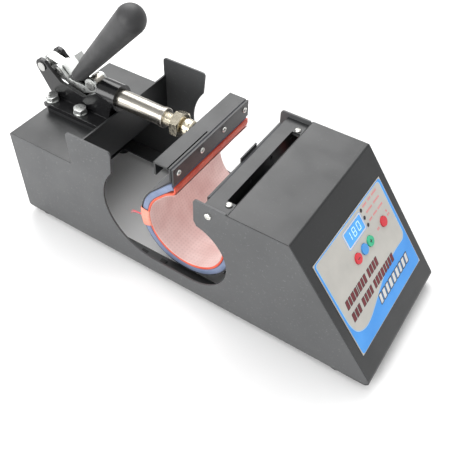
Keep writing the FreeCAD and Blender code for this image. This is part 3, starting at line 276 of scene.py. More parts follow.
MATERIALS = {
    "black_coat": coat("black_coat", srgb(33, 34, 35), srgb(41, 42, 43), 0.36, 0.25, srgb(96, 98, 100)),
    # painted light: a lighter grey copy of the black coat, standing in for the light that falls on the side plates
    "side_coat_painted_light": coat("side_coat_painted_light", srgb(74, 75, 76), srgb(82, 83, 84), 0.5, 0.25, srgb(128, 130, 132)),
    "clamp_black": coat("clamp_black", srgb(12, 12, 13), srgb(18, 18, 20), 0.2, 0.35, srgb(90, 90, 92)),
    "zinc_plate": metal("zinc_plate", srgb(226, 228, 226), srgb(190, 190, 184), 0.3, (1, 1, 1), 0.12, 0.1),
    "pin_steel": metal("pin_steel", srgb(190, 190, 188), srgb(130, 128, 122), 0.25, (1, 0.2, 1)),
    "polished_steel": metal("polished_steel", srgb(176, 172, 164), srgb(140, 134, 124), 0.28, (0.05, 1, 1), 0.3),
    "nickel_plate": metal("nickel_plate", srgb(222, 214, 194), srgb(184, 172, 148), 0.24, (1, 1, 1), 0.12, 0.15),
    "screw_steel": metal("screw_steel", srgb(238, 238, 234), srgb(200, 198, 190), 0.26, (1, 1, 1), 0.12, 0.12),
    "sensor_steel": metal("sensor_steel", srgb(190, 190, 190), srgb(120, 118, 112), 0.25, (1, 0.1, 1)),
    "transformer_steel": metal("transformer_steel", srgb(120, 120, 122), srgb(80, 74, 68), 0.42, (1, 1, 8)),
    "grip_rubber": moulded("grip_rubber", srgb(40, 40, 41), srgb(54, 54, 55), 0.5, 1300, 0.12, 0.1),
    "black_rubber": moulded("black_rubber", srgb(26, 26, 26), srgb(40, 40, 40), 0.7, 1100, 0.12, 0.2),
    "band_fabric": woven("band_fabric", srgb(34, 35, 40), srgb(56, 58, 66), 0.8, 0.9 * MM, 0.18, 0.35),
    "sponge_silicone": foam("sponge_silicone", srgb(98, 112, 142), srgb(132, 144, 172), 0.68, 900, 0.22),
    "mat_silicone": moulded("mat_silicone", srgb(206, 66, 46), srgb(240, 110, 80), 0.5, 800, 0.15, 0.1),
    "liner_cloth": woven("liner_cloth", srgb(226, 196, 192), srgb(242, 220, 216), 0.6, 0.6 * MM, 0.07, 0.2,
                         srgb(206, 168, 160)),
    "panel_film": moulded("panel_film", srgb(192, 190, 184), srgb(204, 201, 194), 0.42, 700, 0.03),
    "display_glass": lens("display_glass", srgb(78, 168, 240), srgb(66, 150, 226), 0.12, 0.35),
    "led_lens": lens("led_lens", srgb(26, 14, 16), srgb(44, 20, 22), 0.18),
    "key_red": moulded("key_red", srgb(214, 44, 58), srgb(232, 62, 74), 0.36, 600, 0.04),
    "key_blue": moulded("key_blue", srgb(62, 148, 226), srgb(84, 168, 240), 0.36, 600, 0.04),
    "key_green": moulded("key_green", srgb(38, 178, 128), srgb(70, 200, 152), 0.36, 600, 0.04),
    "board_laminate": moulded("board_laminate", srgb(24, 86, 52), srgb(34, 104, 64), 0.42, 500, 0.05),
    "component_plastic": moulded("component_plastic", srgb(58, 58, 60), srgb(78, 78, 80), 0.5),
    "entry_plastic": moulded("entry_plastic", srgb(20, 20, 21), srgb(32, 32, 33), 0.45),
    "rocker_plastic": moulded("rocker_plastic", srgb(150, 20, 20), srgb(176, 32, 30), 0.3, 700, 0.03),
    "cable_jacket": moulded("cable_jacket", srgb(34, 34, 35), srgb(50, 50, 51), 0.55),
    "clip_nylon": moulded("clip_nylon", srgb(30, 30, 31), srgb(44, 44, 45), 0.45),
    "lead_silicone": moulded("lead_silicone", srgb(196, 54, 40), srgb(222, 86, 66), 0.5),
    "label_blue": moulded("label_blue", srgb(62, 154, 240), srgb(78, 168, 250), 0.4, 700, 0.03),
    "label_pale": moulded("label_pale", srgb(158, 206, 246), srgb(184, 220, 250), 0.4, 700, 0.03),
    "label_red": moulded("label_red", srgb(104, 22, 32), srgb(128, 34, 44), 0.4, 700, 0.03),
    "label_pink": moulded("label_pink", srgb(226, 122, 126), srgb(236, 146, 148), 0.4, 700, 0.03),
    "label_dark": moulded("label_dark", srgb(30, 30, 34), srgb(44, 42, 46), 0.4, 700, 0.03),
    "label_white": moulded("label_white", srgb(214, 216, 216), srgb(232, 234, 234), 0.4, 700, 0.03),
    "tape_cloth": woven("tape_cloth", srgb(238, 142, 122), srgb(246, 166, 146), 0.62, 0.8 * MM, 0.08, 0.2),
    "strand_red": moulded("strand_red", srgb(222, 84, 96), srgb(236, 120, 128), 0.6),
    "digit_white": lens("digit_white", srgb(196, 232, 255), srgb(170, 216, 250), 0.2, 0.5),
}

# the side plates take the lighter grey copy of the black coat, as painted light
PLATES_WITH_PAINTED_LIGHT = ("side_plate_near", "side_plate_far")
for name, item in nodes.items():
    for held in item.material_slots:
        finish = held.material.name.split(".")[0]
        held.material = MATERIALS["side_coat_painted_light" if name in PLATES_WITH_PAINTED_LIGHT else finish]


# ---------------------------------------------------------------- building pieces
def finish_mesh(name, mesh, material, body, sharp=32.0):
    """The mesh as a piece: smooth, with its sharp edges marked, riding on a body."""
    made = bmesh.new()
    made.from_mesh(mesh)
    bmesh.ops.recalc_face_normals(made, faces=made.faces)
    for face in made.faces:
        face.smooth = True
    for edge in made.edges:
        if len(edge.link_faces) == 2:
            edge.smooth = edge.calc_face_angle(0.0) < math.radians(sharp)
    made.to_mesh(mesh)
    made.free()
    piece = bpy.data.objects.new(name, mesh)
    scene.collection.objects.link(piece)
    mesh.materials.append(MATERIALS[material])
    if body:
        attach(piece, body)
    return piece


def basis(axis):
    """A unit axis and two unit vectors square to it; the first lies level unless the axis is upright."""
    axis = Vector(axis).normalized()
    side = axis.orthogonal().normalized()
    if abs(axis.z) < 0.9:
        side = Vector((0, 0, 1)).cross(axis).normalized()
    return axis, side, axis.cross(side)


def lay_flat(mesh, flat):
    """The flat place of each point, in metres, as the map that the cloth materials read."""
    layer = mesh.uv_layers.new(name="flat")
    for loop in mesh.loops:
        layer.data[loop.index].uv = flat[loop.vertex_index]


def turned(name, stacks, material, body, count=64, sharp=32.0):
    """Solids of rings about an axis: each stack is (origin, axis, rings), and a ring is (radius, height),
    each a number or a function of the angle."""
    points, faces = [], []
    for origin, axis, rings in stacks:
        along, side, other = basis(axis)
        first = len(points)
        for radius, height in rings:
            for k in range(count):
                a = 2 * math.pi * k / count
                r = radius(a) if callable(radius) else radius
                h = height(a) if callable(height) else height
                points.append(Vector(origin) + along * h + (side * math.cos(a) + other * math.sin(a)) * r)
        for i in range(len(rings) - 1):
            for k in range(count):
                n = (k + 1) % count
                faces.append((first + i * count + k, first + i * count + n,
                              first + (i + 1) * count + n, first + (i + 1) * count + k))
        faces.append(tuple(first + k for k in reversed(range(count))))
        faces.append(tuple(first + (len(rings) - 1) * count + k for k in range(count)))
    mesh = bpy.data.meshes.new(name)
    mesh.from_pydata([tuple(p) for p in points], [], faces)
    return finish_mesh(name, mesh, material, body, sharp)


def rounded_end(radius, height, fillet, steps=5, up=True):
    """Rings of a filleted rim that ends at a height."""
    rings = []
    for i in range(steps + 1):
        a = math.pi / 2 * i / steps
        drop = fillet * (1 - math.sin(a))
        rings.append((radius - fillet * (1 - math.cos(a)), height - drop if up else height + drop))
    return rings if up else rings[::-1]


def islands(name):
    """The separate solids of a CAD node, as lists of points."""
    mesh = nodes[name].data
    same, root = {}, []
    for v in mesh.vertices:
        key = tuple(round(c, 6) for c in v.co)
        root.append(same.setdefault(key, v.index))

    def find(i):
        while root[i] != i:
            root[i] = root[root[i]]
            i = root[i]
        return i
    for face in mesh.polygons:
        for i in face.vertices[1:]:
            a, b = find(face.vertices[0]), find(i)
            if a != b:
                root[b] = a
    groups = {}
    for v in mesh.vertices:
        groups.setdefault(find(v.index), []).append(v.co.copy())
    return list(groups.values())


def spindle_of(points):
    """(centre of the thin end, unit axis towards the head, length, head radius, thin radius, head height)."""
    low = Vector(min(p[i] for p in points) for i in range(3))
    high = Vector(max(p[i] for p in points) for i in range(3))
    spans = high - low
    pairs = [(abs(spans[(i + 1) % 3] - spans[(i + 2) % 3]), i) for i in range(3)]
    index = min(pairs)[1]
    axis = Vector((0, 0, 0))
    axis[index] = 1
    centre = (low + high) / 2

    def away(p):
        d = p - centre
        return (d - axis * d.dot(axis)).length
    ends = [[p for p in points if abs(p[index] - end) < 1e-5] for end in (low[index], high[index])]
    wide = max(map(away, points))
    seats = [p[index] for p in points if away(p) > wide * 0.98]
    head_up = abs(sum(seats) / len(seats) - high[index]) < abs(sum(seats) / len(seats) - low[index])
    if not head_up:
        axis = -axis
    thin = max(map(away, ends[0] if head_up else ends[1]))
    seat_at = min(seats) if head_up else max(seats)
    head = (high[index] - seat_at) if head_up else (seat_at - low[index])
    start = centre - axis * spans[index] / 2
    return start, axis, spans[index], wide, thin, head


def cross_dome(radius, height, low, recess=0.62, slot=0.16, depth=0.75):
    """Rings of a domed head, from its seat to its middle, with a cross recess pressed into it."""
    rings = [(radius * 0.985, low), (radius, low + height * 0.12), (radius, low + height * 0.3)]

    def dip(r):
        def at(a):
            x, y = abs(math.cos(a)) * r, abs(math.sin(a)) * r
            crown = low + height * (0.3 + 0.7 * math.sqrt(max(0, 1 - (r / radius) ** 2)))
            inside = min(x, y) < slot * radius and max(x, y) < recess * radius
            return crown - (height * depth * (1 - 0.55 * max(x, y) / (recess * radius)) if inside else 0)
        return at
    shares = (0.97, 0.9, 0.8, 0.72, 0.64, 0.6, 0.5, 0.4, 0.32, 0.26, 0.2, 0.14, 0.08, 0.03)
    return rings + [(radius * share, dip(radius * share)) for share in shares]


def screws(name, cad, body, material="screw_steel"):
    """Every screw of a CAD node, with a domed cross-recess head."""
    stacks = []
    for points in islands(cad):
        start, axis, length, wide, thin, head = spindle_of(points)
        rings = [(thin * 0.75, 0), (thin, thin * 0.4), (thin, length - head)]
        stacks.append((start, axis, rings + cross_dome(wide, head, length - head)))
    piece = turned(name, stacks, material, body, count=72, sharp=38)
    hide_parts(cad)
    return piece


def hexagon(flats):
    """The radius of a hexagon at an angle, by its width across flats."""
    def radius(a):
        return flats / 2 / math.cos((a + math.pi / 6) % (math.pi / 3) - math.pi / 6)
    return radius


def hex_head(flats, low, high, lower_too=False):
    """Rings of a hexagon whose corners are turned down by a chamfer."""
    corner = hexagon(flats)

    def chamfer(a, end, sign):
        return end - sign * (corner(a) - flats / 2 * 0.965) * 0.55
    rings = []
    if lower_too:
        rings.append((flats / 2 * 0.965, low))
        rings.append((corner, lambda a: chamfer(a, low, -1)))
    else:
        rings.append((corner, low))
    rings += [(corner, lambda a: chamfer(a, high, 1)), (flats / 2 * 0.965, high), (flats / 2 * 0.8, high)]
    return rings


def threads(radius, start, end, pitch):
    """Rings of a screw thread, as fine ridges."""
    rings, at = [], start
    while at < end - pitch:
        rings += [(radius, at + pitch * 0.12), (radius * 0.9, at + pitch * 0.5), (radius * 0.9, at + pitch * 0.6),
                  (radius, at + pitch * 0.98)]
        at += pitch
    return [(radius * 0.9, start)] + rings + [(radius * 0.9, end)]


# ---------------------------------------------------------------- heater wrap
ARC_STEPS = 220
SMOOTHING_PASSES = 4
MOUTH_GAP = 0.3 * MM        # the soft layers stop this far behind the band at the front


def wrap_path(radius, rear, front, step=1.4 * MM):
    """Evenly spaced points (x, z): from the rear end, down a 45 degree rise that meets the circle, round
    below the axis, and up to the front end. Each end is a list of points from its tip inwards."""
    half = radius * math.sqrt(0.5)
    points = [Vector(p) for p in rear] + [Vector((AXIS_X - half * 0.9, AXIS_Z + half * 1.1))]
    start = math.radians(135)
    end = math.atan2(front[-1][1] - AXIS_Z, front[-1][0] - AXIS_X) + 2 * math.pi
    for i in range(ARC_STEPS + 1):
        a = start + (end - start) * i / ARC_STEPS
        points.append(Vector((AXIS_X + radius * math.cos(a), AXIS_Z + radius * math.sin(a))))
    points += [Vector(p) for p in reversed(front[:-1])]
    even = [points[0]]
    spare = 0.0
    for a, b in zip(points, points[1:]):
        length = (b - a).length
        at = step - spare
        while at <= length:
            even.append(a.lerp(b, at / length))
            at += step
        spare = length - (at - step)
    even.append(points[-1])
    for _ in range(SMOOTHING_PASSES):
        inner = [(even[i - 1] + even[i] * 2 + even[i + 1]) / 4 for i in range(1, len(even) - 1)]
        even = [even[0]] + inner + [even[-1]]
    return even


def wrap_layer(name, path, thickness, material, seed, half, rim=0.5 * MM, crown=0.0, wrinkle=None):
    """A layer of the wrap: a closed shell round a path, with rounded ends at its two rims."""
    ends = [(0.0, 0.45), (0.25, 0.75), (0.9, 0.94), (2.0, 1.0)]
    stations = [(-half + d * MM * (1 if crown else 0.4), share) for d, share in ends]
    stations += [(-half + 4 * MM + (2 * half - 8 * MM) * k / 44, 1.0) for k in range(45)]
    stations += [(half - d * MM * (1 if crown else 0.4), share) for d, share in reversed(ends)]
    lengths = [0.0]
    for a, b in zip(path, path[1:]):
        lengths.append(lengths[-1] + (b - a).length)
    normals = []
    for i in range(len(path)):
        t = (path[min(i + 1, len(path) - 1)] - path[max(i - 1, 0)]).normalized()
        normals.append(Vector((t.y, -t.x)))
    points, flat = [], []
    across = len(path)
    for y, share in stations:
        near_end = max(0.0, 1 - (half - abs(y)) / (6 * MM))
        for side in (-1, 1):
            for i, (p, n) in enumerate(zip(path, normals)):
                wave = noise.noise(Vector((lengths[i] * 38 + seed, seed * 3.1, math.copysign(4, y)))) * rim
                shift = side * thickness / 2 * share
                if wrinkle:
                    shift += wrinkle(lengths[i], y, lengths[-1]) * (1.0 if side < 0 else 0.55)
                q = p + n * shift
                points.append((q.x, y + wave * near_end * (1 if y > 0 else -1), q.y))
                flat.append((lengths[i], y))
    faces = []
    for j in range(len(stations) - 1):
        a, b = j * 2 * across, (j + 1) * 2 * across
        for i in range(across - 1):
            faces.append((a + i, b + i, b + i + 1, a + i + 1))
            faces.append((a + across + i, a + across + i + 1, b + across + i + 1, b + across + i))
        for i in (0, across - 1):
            faces.append((a + i, a + across + i, b + across + i, b + i))
    for j in (0, len(stations) - 1):
        a = j * 2 * across
        for i in range(across - 1):
            faces.append((a + i, a + i + 1, a + across + i + 1, a + across + i))
    mesh = bpy.data.meshes.new(name)
    mesh.from_pydata(points, [], faces)
    lay_flat(mesh, flat)
    return finish_mesh(name, mesh, material, None, sharp=50), lengths[-1]


def open_with_jaw(piece):
    """The piece with its placement baked into its points."""
    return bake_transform(piece)


def rise_z(radius, x):
    """The height at x of the 45 degree rise that leaves a circle of this radius."""
    return AXIS_Z + radius * math.sqrt(2) - (AXIS_X - x)


def on_circle(radius, x):
    """The point of the circle's upper front at x."""
    return (x, AXIS_Z + math.sqrt(radius ** 2 - (x - AXIS_X) ** 2))


def by_strip(*offsets):
    """Points given in millimetres from the mouth plane and the lower edge of the rear strip."""
    return [(REAR_MOUTH + x * MM, REAR_STRIP[0].z + z * MM) for x, z in offsets]


def creases(s, y, total):
    """Soft creases of the liner: slanting at the rear, fading to the middle."""
    soft = noise.noise(Vector((s * 60, y * 34, 2.5))) * 0.35 * MM
    slant = noise.noise(Vector((s * 150 + y * 70, y * 12, 7.1))) * 0.3 * MM
    return soft + slant * max(0.0, 1 - s / (0.55 * total))


def rolls(s, y, total):
    """Low, wide waves of the outer band."""
    return noise.noise(Vector((s * 30, y * 22, 5.0))) * 0.22 * MM


r = (R_BAND + R_SPONGE) / 2
rear_band_x, front_band_x = REAR_X + BAND_T / 2, FRONT_X - BAND_T / 2
band_path = wrap_path(r, [(rear_band_x, TAB_TOP), (rear_band_x, rise_z(r, rear_band_x) + 1 * MM)],
                      [(front_band_x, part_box("front_crossbar")[1].z - 0.5 * MM), on_circle(r, front_band_x)])
wrap_band, band_length = wrap_layer("wrap_band_cloth", band_path, BAND_T, "band_fabric", 1.0,
                                    WRAP_HALF - 0.2 * MM, wrinkle=rolls)
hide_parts("wrap_band")

r = (R_SPONGE + R_MAT) / 2
sponge_path = wrap_path(r, by_strip((0.2, -3.7), (-2.0, -4.6), (-5.0, -7.2)),
                        [on_circle(r, FRONT_MOUTH - MOUTH_GAP)])
wrap_sponge, _ = wrap_layer("wrap_sponge_pad", sponge_path, R_SPONGE - R_MAT - 0.1 * MM, "sponge_silicone", 2.0,
                            WRAP_HALF + 0.4 * MM, rim=0.9 * MM, crown=1.0)
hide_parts("wrap_sponge")

r = (R_MAT + R_LINER) / 2
mat_rear = by_strip((1.6, -3.8), (2.0, -7.0), (1.9, -10.5), (0.2, -13.2), (-3.5, -14.6), (-7.0, -16.8),
                    (-10.0, -18.84))
mat_path = wrap_path(r, mat_rear, [on_circle(r, FRONT_MOUTH - MOUTH_GAP)])
heating_mat, _ = wrap_layer("heating_mat_rubber", mat_path, R_MAT - R_LINER - 0.1 * MM, "mat_silicone", 3.0,
                            WRAP_HALF + 0.2 * MM, rim=0.6 * MM, crown=1.0)
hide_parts("heating_mat")

r = (R_LINER + MUG_R) / 2
liner_rear = by_strip((3.0, -12.4), (1.4, -14.7), (-2.8, -16.2), (-6.4, -18.3), (-10.0, -20.96))
liner_path = wrap_path(r, liner_rear, [on_circle(r, FRONT_MOUTH - MOUTH_GAP)])
liner, liner_length = wrap_layer("wrap_liner_cloth", liner_path, R_LINER - MUG_R - 0.06 * MM, "liner_cloth", 4.0,
                                 WRAP_HALF - 0.6 * MM, rim=0.5 * MM, wrinkle=creases)
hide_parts("wrap_liner")

for piece in (wrap_band, wrap_sponge, heating_mat, liner):
    open_with_jaw(piece)

# the tape over the near rim, and the strand that comes out from under it
TAPE_FROM, TAPE_SPAN, TAPE_STEPS = 170, 27, 14      # degrees round the axis
angles = [math.radians(TAPE_FROM + TAPE_SPAN * k / TAPE_STEPS) for k in range(TAPE_STEPS + 1)]
# (radius, depth in millimetres past the near rim), from the liner round the rim to the band
tape_profile = [(R_LINER + 0.2 * MM, 1.0), (R_LINER + 0.2 * MM, -0.5), (R_MAT, -0.9), (R_MAT + 3.5 * MM, -1.15),
                (R_SPONGE - 0.6 * MM, -1.0), (R_BAND + 0.25 * MM, -0.4), (R_BAND + 0.35 * MM, 2.0),
                (R_BAND + 0.3 * MM, 9.0)]
points, faces, flat = [], [], []
run = 0.0
for i, (r, d) in enumerate(tape_profile):
    if i:
        run += math.hypot(r - tape_profile[i - 1][0], (d - tape_profile[i - 1][1]) * MM)
    for k, a in enumerate(angles):
        rag = noise.noise(Vector((k * 0.9, i * 1.7, 9))) * 0.5 * MM
        ragged = rag if i == len(tape_profile) - 1 else 0
        points.append((AXIS_X + (r + rag * 0.3) * math.cos(a), -WRAP_HALF + d * MM + ragged,
                       AXIS_Z + (r + rag * 0.3) * math.sin(a)))
        flat.append((run, a * R_BAND))
wide = len(angles)
for i in range(len(tape_profile) - 1):
    for k in range(wide - 1):
        faces.append((i * wide + k, i * wide + k + 1, (i + 1) * wide + k + 1, (i + 1) * wide + k))
mesh = bpy.data.meshes.new("rim_tape")
mesh.from_pydata(points, [], faces)
lay_flat(mesh, flat)
tape = finish_mesh("rim_tape", mesh, "tape_cloth", "jaw", sharp=80)
thick = tape.modifiers.new("thickness", "SOLIDIFY")
thick.thickness = 0.2 * MM
thick.offset = 1


def curve_piece(name, strands, radius, material, body):
    """Thin round strands as one curve piece; each point is (x, y, z, share of the radius)."""
    data = bpy.data.curves.new(name, "CURVE")
    data.dimensions = "3D"
    data.bevel_depth = radius
    data.bevel_resolution = 3
    data.use_fill_caps = True
    for strand in strands:
        spline = data.splines.new("NURBS")
        spline.points.add(len(strand) - 1)
        for point, place in zip(spline.points, strand):
            point.co = (*place[:3], 1)
            point.radius = place[3]
        spline.use_endpoint_u = True
        spline.order_u = 3
    piece = bpy.data.objects.new(name, data)
    scene.collection.objects.link(piece)
    data.materials.append(MATERIALS[material])
    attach(piece, body)
    return piece


tail = Vector((AXIS_X - R_BAND + 1 * MM, -WRAP_HALF + 0.5 * MM, AXIS_Z - 4 * MM))
THREADS, BENDS = 4, 8
STRAND_REACH = 13 * MM
strands = []
for k in range(THREADS):
    strand = []
    for i in range(BENDS + 1):
        a = i * 1.1 + k * math.pi / 2
        grow = i / BENDS
        fray = grow ** 3 * 1.6 * MM
        strand.append((tail.x - STRAND_REACH * grow + noise.noise(Vector((k, i, 1))) * 0.6 * MM,
                       tail.y - 2.0 * MM * grow + (0.5 * MM + fray) * math.cos(a),
                       tail.z + 1.5 * MM * math.sin(grow * 3) + (0.5 * MM + fray) * math.sin(a),
                       1 - 0.5 * grow))
    strands.append(strand)
curve_piece("tape_strand", strands, 0.4 * MM, "strand_red", "jaw")

# ---------------------------------------------------------------- screws, bolts and the toggle's turned parts
screws("rear_strip_screw_heads", "rear_strip_screws", "jaw")
screws("front_strip_screw_heads", "front_strip_screws", "root")
screws("crossbar_screw_heads", "crossbar_screws", "root")
screws("base_screw_heads", "base_screws", "root")

bolt_stacks = []
for points in islands("clamp_bolts"):
    start, axis, length, wide, thin, head = spindle_of(points)
    flats = wide * 2 * math.cos(math.pi / 6)
    rings = [(thin * 0.8, 0), (thin, thin * 0.35)] + threads(thin, thin * 0.4, (length - head) * 0.6, 1.0 * MM)
    rings += [(thin, (length - head) * 0.62), (thin, length - head)]
    bolt_stacks.append((start, axis, rings + hex_head(flats, length - head, length)
                        + [(flats / 2 * 0.6, length + 0.01 * MM)]))
bolts = turned("clamp_hex_bolts", bolt_stacks, "zinc_plate", "root", count=72, sharp=20)
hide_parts("clamp_bolts")

nut_low, nut_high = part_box("lock_nut")
middle = (nut_low + nut_high) / 2
flats = min(nut_high.z - nut_low.z, nut_high.y - nut_low.y)
length = nut_high.x - nut_low.x
nut = turned("lock_nut_hex", [((nut_low.x, 0, middle.z), (1, 0, 0),
                               [(flats * 0.3, 0)] + hex_head(flats, 0, length, True) + [(flats * 0.3, length)])],
             "nickel_plate", "jaw", count=72, sharp=20)
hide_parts("lock_nut")

head_low, head_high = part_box("spindle_head")
radius = (head_high.z - head_low.z) / 2
length = head_high.x - head_low.x
rings = [(radius * 0.55, 0)] + rounded_end(radius, 0, radius * 0.42, up=False)
rings += [(radius, length * 0.5), (radius * 0.93, length * 0.62), (radius * 0.93, length * 0.7)]
rings += rounded_end(radius * 0.98, length, radius * 0.3)
rings += [(radius * 0.5, length)]
head = turned("spindle_head_knob", [((head_low.x, 0, middle.z), (1, 0, 0), rings)], "nickel_plate", "jaw", sharp=30)
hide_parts("spindle_head")

spindle_low, spindle_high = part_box("spindle")
radius = (spindle_high.z - spindle_low.z) / 2
length = spindle_high.x - spindle_low.x
rings = [(radius * 0.8, 0)] + threads(radius, 1 * MM, length - 1 * MM, 1.5 * MM) + [(radius * 0.8, length)]
spindle = turned("spindle_thread", [((spindle_low.x, 0, middle.z), (1, 0, 0), rings)], "nickel_plate", "jaw",
                 sharp=60)
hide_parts("spindle")

plunger_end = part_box("plunger")[1]
radius = plunger_end.y
rings = [(radius * 0.75, -4.6 * MM), (radius + 0.05 * MM, -4.6 * MM), (radius + 0.75 * MM, -3.9 * MM),
         (radius + 0.8 * MM, -1.0 * MM)] + rounded_end(radius + 0.8 * MM, 0.5 * MM, 1.1 * MM) \
    + [(radius * 0.75, 0.5 * MM)]
turned("plunger_collar", [((plunger_end.x, 0, middle.z), (1, 0, 0), rings)], "polished_steel", "jaw", sharp=30)

# ---------------------------------------------------------------- grip
# its axis leans until it runs from the middle of the open end to the middle of the round tip
grip_points = [v.co.copy() for v in nodes["grip"].data.vertices]
tip_r = max(p.y for p in grip_points)
tip = Vector((max(p.x for p in grip_points) - tip_r, 0, max(p.z for p in grip_points) - tip_r))
axis = Vector((1, 0, 1)).normalized()
for _ in range(12):
    side = Vector((axis.z, 0, -axis.x))
    lowest = min(axis.dot(p) for p in grip_points)
    base = [side.dot(p) for p in grip_points if axis.dot(p) < lowest + 0.3 * MM]
    start = axis * lowest + side * ((max(base) + min(base)) / 2)
    axis = (tip - start).normalized()
base_r = max(p.y for p in grip_points if axis.dot(p - start) < 0.3 * MM)
GRIP_FILLET = 3 * MM
rings = [(base_r * 0.72, 0.0)]
for i in range(7):
    a = math.pi / 2 * i / 6
    rings.append((base_r - GRIP_FILLET * (1 - math.sin(a)), GRIP_FILLET * (1 - math.cos(a))))
body_end = (tip - start).length
for i in range(1, 13):
    t = i / 12
    rings.append((base_r + (tip_r - base_r) * t, GRIP_FILLET + (body_end - GRIP_FILLET) * t))
for i in range(1, 11):
    a = math.pi / 2 * i / 10
    rings.append((tip_r * max(math.cos(a), 0.02), body_end + tip_r * 0.985 * math.sin(a)))
grip = turned("grip_sleeve", [(start, axis, rings)], "grip_rubber", "handle", sharp=40)
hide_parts("grip")


# ---------------------------------------------------------------- printed label
FILM = 0.04 * MM            # thickness of a printed layer


def rounded_outline(points, radius, steps=6):
    """A closed outline with its corners rounded; a point may carry its own radius."""
    made = []
    count = len(points)
    for i in range(count):
        p = Vector(points[i][:2])
        r = points[i][2] if len(points[i]) > 2 else radius
        before = (Vector(points[i - 1][:2]) - p)
        after = (Vector(points[(i + 1) % count][:2]) - p)
        cut = min(r, before.length * 0.48, after.length * 0.48)
        a, b = p + before.normalized() * cut, p + after.normalized() * cut
        if cut < 1e-6:
            made.append(p)
            continue
        for k in range(steps + 1):
            t = k / steps
            made.append(a * (1 - t) ** 2 + p * 2 * t * (1 - t) + b * t ** 2)
    return made


def printed(name, shapes, lift, material, body="root"):
    """Flat printed shapes, each an outline of (s, y) in metres, laid on the label."""
    made = bmesh.new()
    for outline in shapes:
        low = [made.verts.new(on_label(p.x, p.y, lift)) for p in outline]
        high = [made.verts.new(on_label(p.x, p.y, lift + FILM)) for p in outline]
        made.faces.new(high)
        for i in range(len(outline)):
            n = (i + 1) % len(outline)
            made.faces.new((low[i], low[n], high[n], high[i]))
    bmesh.ops.triangulate(made, faces=[f for f in made.faces if len(f.verts) > 4])
    mesh = bpy.data.meshes.new(name)
    made.to_mesh(mesh)
    made.free()
    return finish_mesh(name, mesh, material, body, sharp=30)


def printed_sheet(name, outline, holes, lift, material):
    """A printed field with the holes of the panel left open."""
    made = bmesh.new()
    loops = []
    for line in [outline] + holes:
        loops.append([made.verts.new(on_label(p.x, p.y, lift + FILM)) for p in line])
    rims = []
    for loop in loops:
        rims += [made.edges.new((loop[i - 1], loop[i])) for i in range(len(loop))]
    bmesh.ops.triangle_fill(made, use_beauty=True, use_dissolve=False, edges=rims)
    made.verts.index_update()
    top = [tuple(v.index for v in face.verts) for face in made.faces]
    points = [v.co.copy() for v in made.verts]
    walls = []
    count = len(points)
    for loop in loops:
        for i in range(len(loop)):
            a, b = loop[i - 1].index, loop[i].index
            walls.append((a, b, b + count, a + count))
    made.free()
    points += [p - NORMAL * FILM for p in points]
    under = [tuple(i + count for i in reversed(face)) for face in top]
    mesh = bpy.data.meshes.new(name)
    mesh.from_pydata([tuple(p) for p in points], [], top + under + walls)
    return finish_mesh(name, mesh, material, "root", sharp=30)


def disc(s, y, radius, count=28):
    """A round outline on the label, in metres."""
    turns = [2 * math.pi * k / count for k in range(count)]
    return [Vector((s + radius * math.cos(a), y + radius * math.sin(a))) for a in turns]


def mm_outline(points, radius=0.0, steps=6):
    """A rounded outline from points in millimetres."""
    return rounded_outline([tuple(c * MM for c in p) for p in points], radius * MM, steps)


def bar(s0, s1, y0, y1, radius=0.6, slant=0.0):
    """A block in millimetres, whose upper edge is shifted by the slant."""
    return mm_outline([(s0, y0 + slant), (s0, y1 + slant), (s1, y1), (s1, y0)], radius, 3)


# in millimetres, s down the slope and y across it
L = LABEL_LENGTH / MM
H = LABEL_HALF / MM
s0, s1 = 6.0, 23.0          # the display's window down the slope
W = 17.3                    # and half its width
LIGHTS_S = (6.5, 15.0, 23.5)
LIGHTS_Y = 21.6
KEYS_S = 36.4
LIGHT_HOLE, KEY_HOLE = 2.15 * MM, 5.65 * MM
field = [(1.8, -H + 3.2, 4), (1.8, H - 4.6, 5), (66, H - 5.2, 7), (70.5, H - 10, 6), (69.5, 34, 14), (76, 4, 20),
         (84, -18, 20), (90.2, -36, 14), (91.2, -50, 12), (84, -H + 7.5, 12), (72, -H + 3.8, 10)]
HOLES = [mm_outline([(s0, -W), (s0, W), (s1, W), (s1, -W)], 0.3, 2)]
for s_light in LIGHTS_S:
    HOLES.append(disc(s_light * MM, LIGHTS_Y * MM, LIGHT_HOLE))
for key in ("button_down", "button_set", "button_up", "button_power"):
    low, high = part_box(key)
    HOLES.append(disc(KEYS_S * MM, (low.y + high.y) / 2, KEY_HOLE))
edges = [(0.5, -H + 0.6), (0.5, H - 0.6), (L - 0.5, H - 0.6), (L - 0.5, -H + 0.6)]
printed_sheet("label_border", mm_outline(edges, 4), HOLES, 0.01 * MM, "label_blue")
grown = []
MIDDLE_S = 45
OUTLINE_WIDTH = 0.9
for s_at, y_at, corner in field:
    reach = math.hypot(s_at - MIDDLE_S, y_at)
    grown.append((s_at + (s_at - MIDDLE_S) / reach * OUTLINE_WIDTH, y_at + y_at / reach * OUTLINE_WIDTH, corner))
printed_sheet("label_outline", mm_outline(grown, 4, 10), HOLES, 0.06 * MM, "label_pale")
printed_sheet("label_field", mm_outline(field, 4, 10), HOLES, 0.11 * MM, "panel_film")


def word_row(s0, s1, start, widths, gap, slant):
    """A row of plain blocks where a printed line stands; a width below zero is a space."""
    shapes, at = [], start
    for w in widths:
        if w > 0:
            shapes.append(bar(s0, s1, at, at + w, 0.7, slant))
        at += abs(w) + (gap if w > 0 else 0)
    return shapes


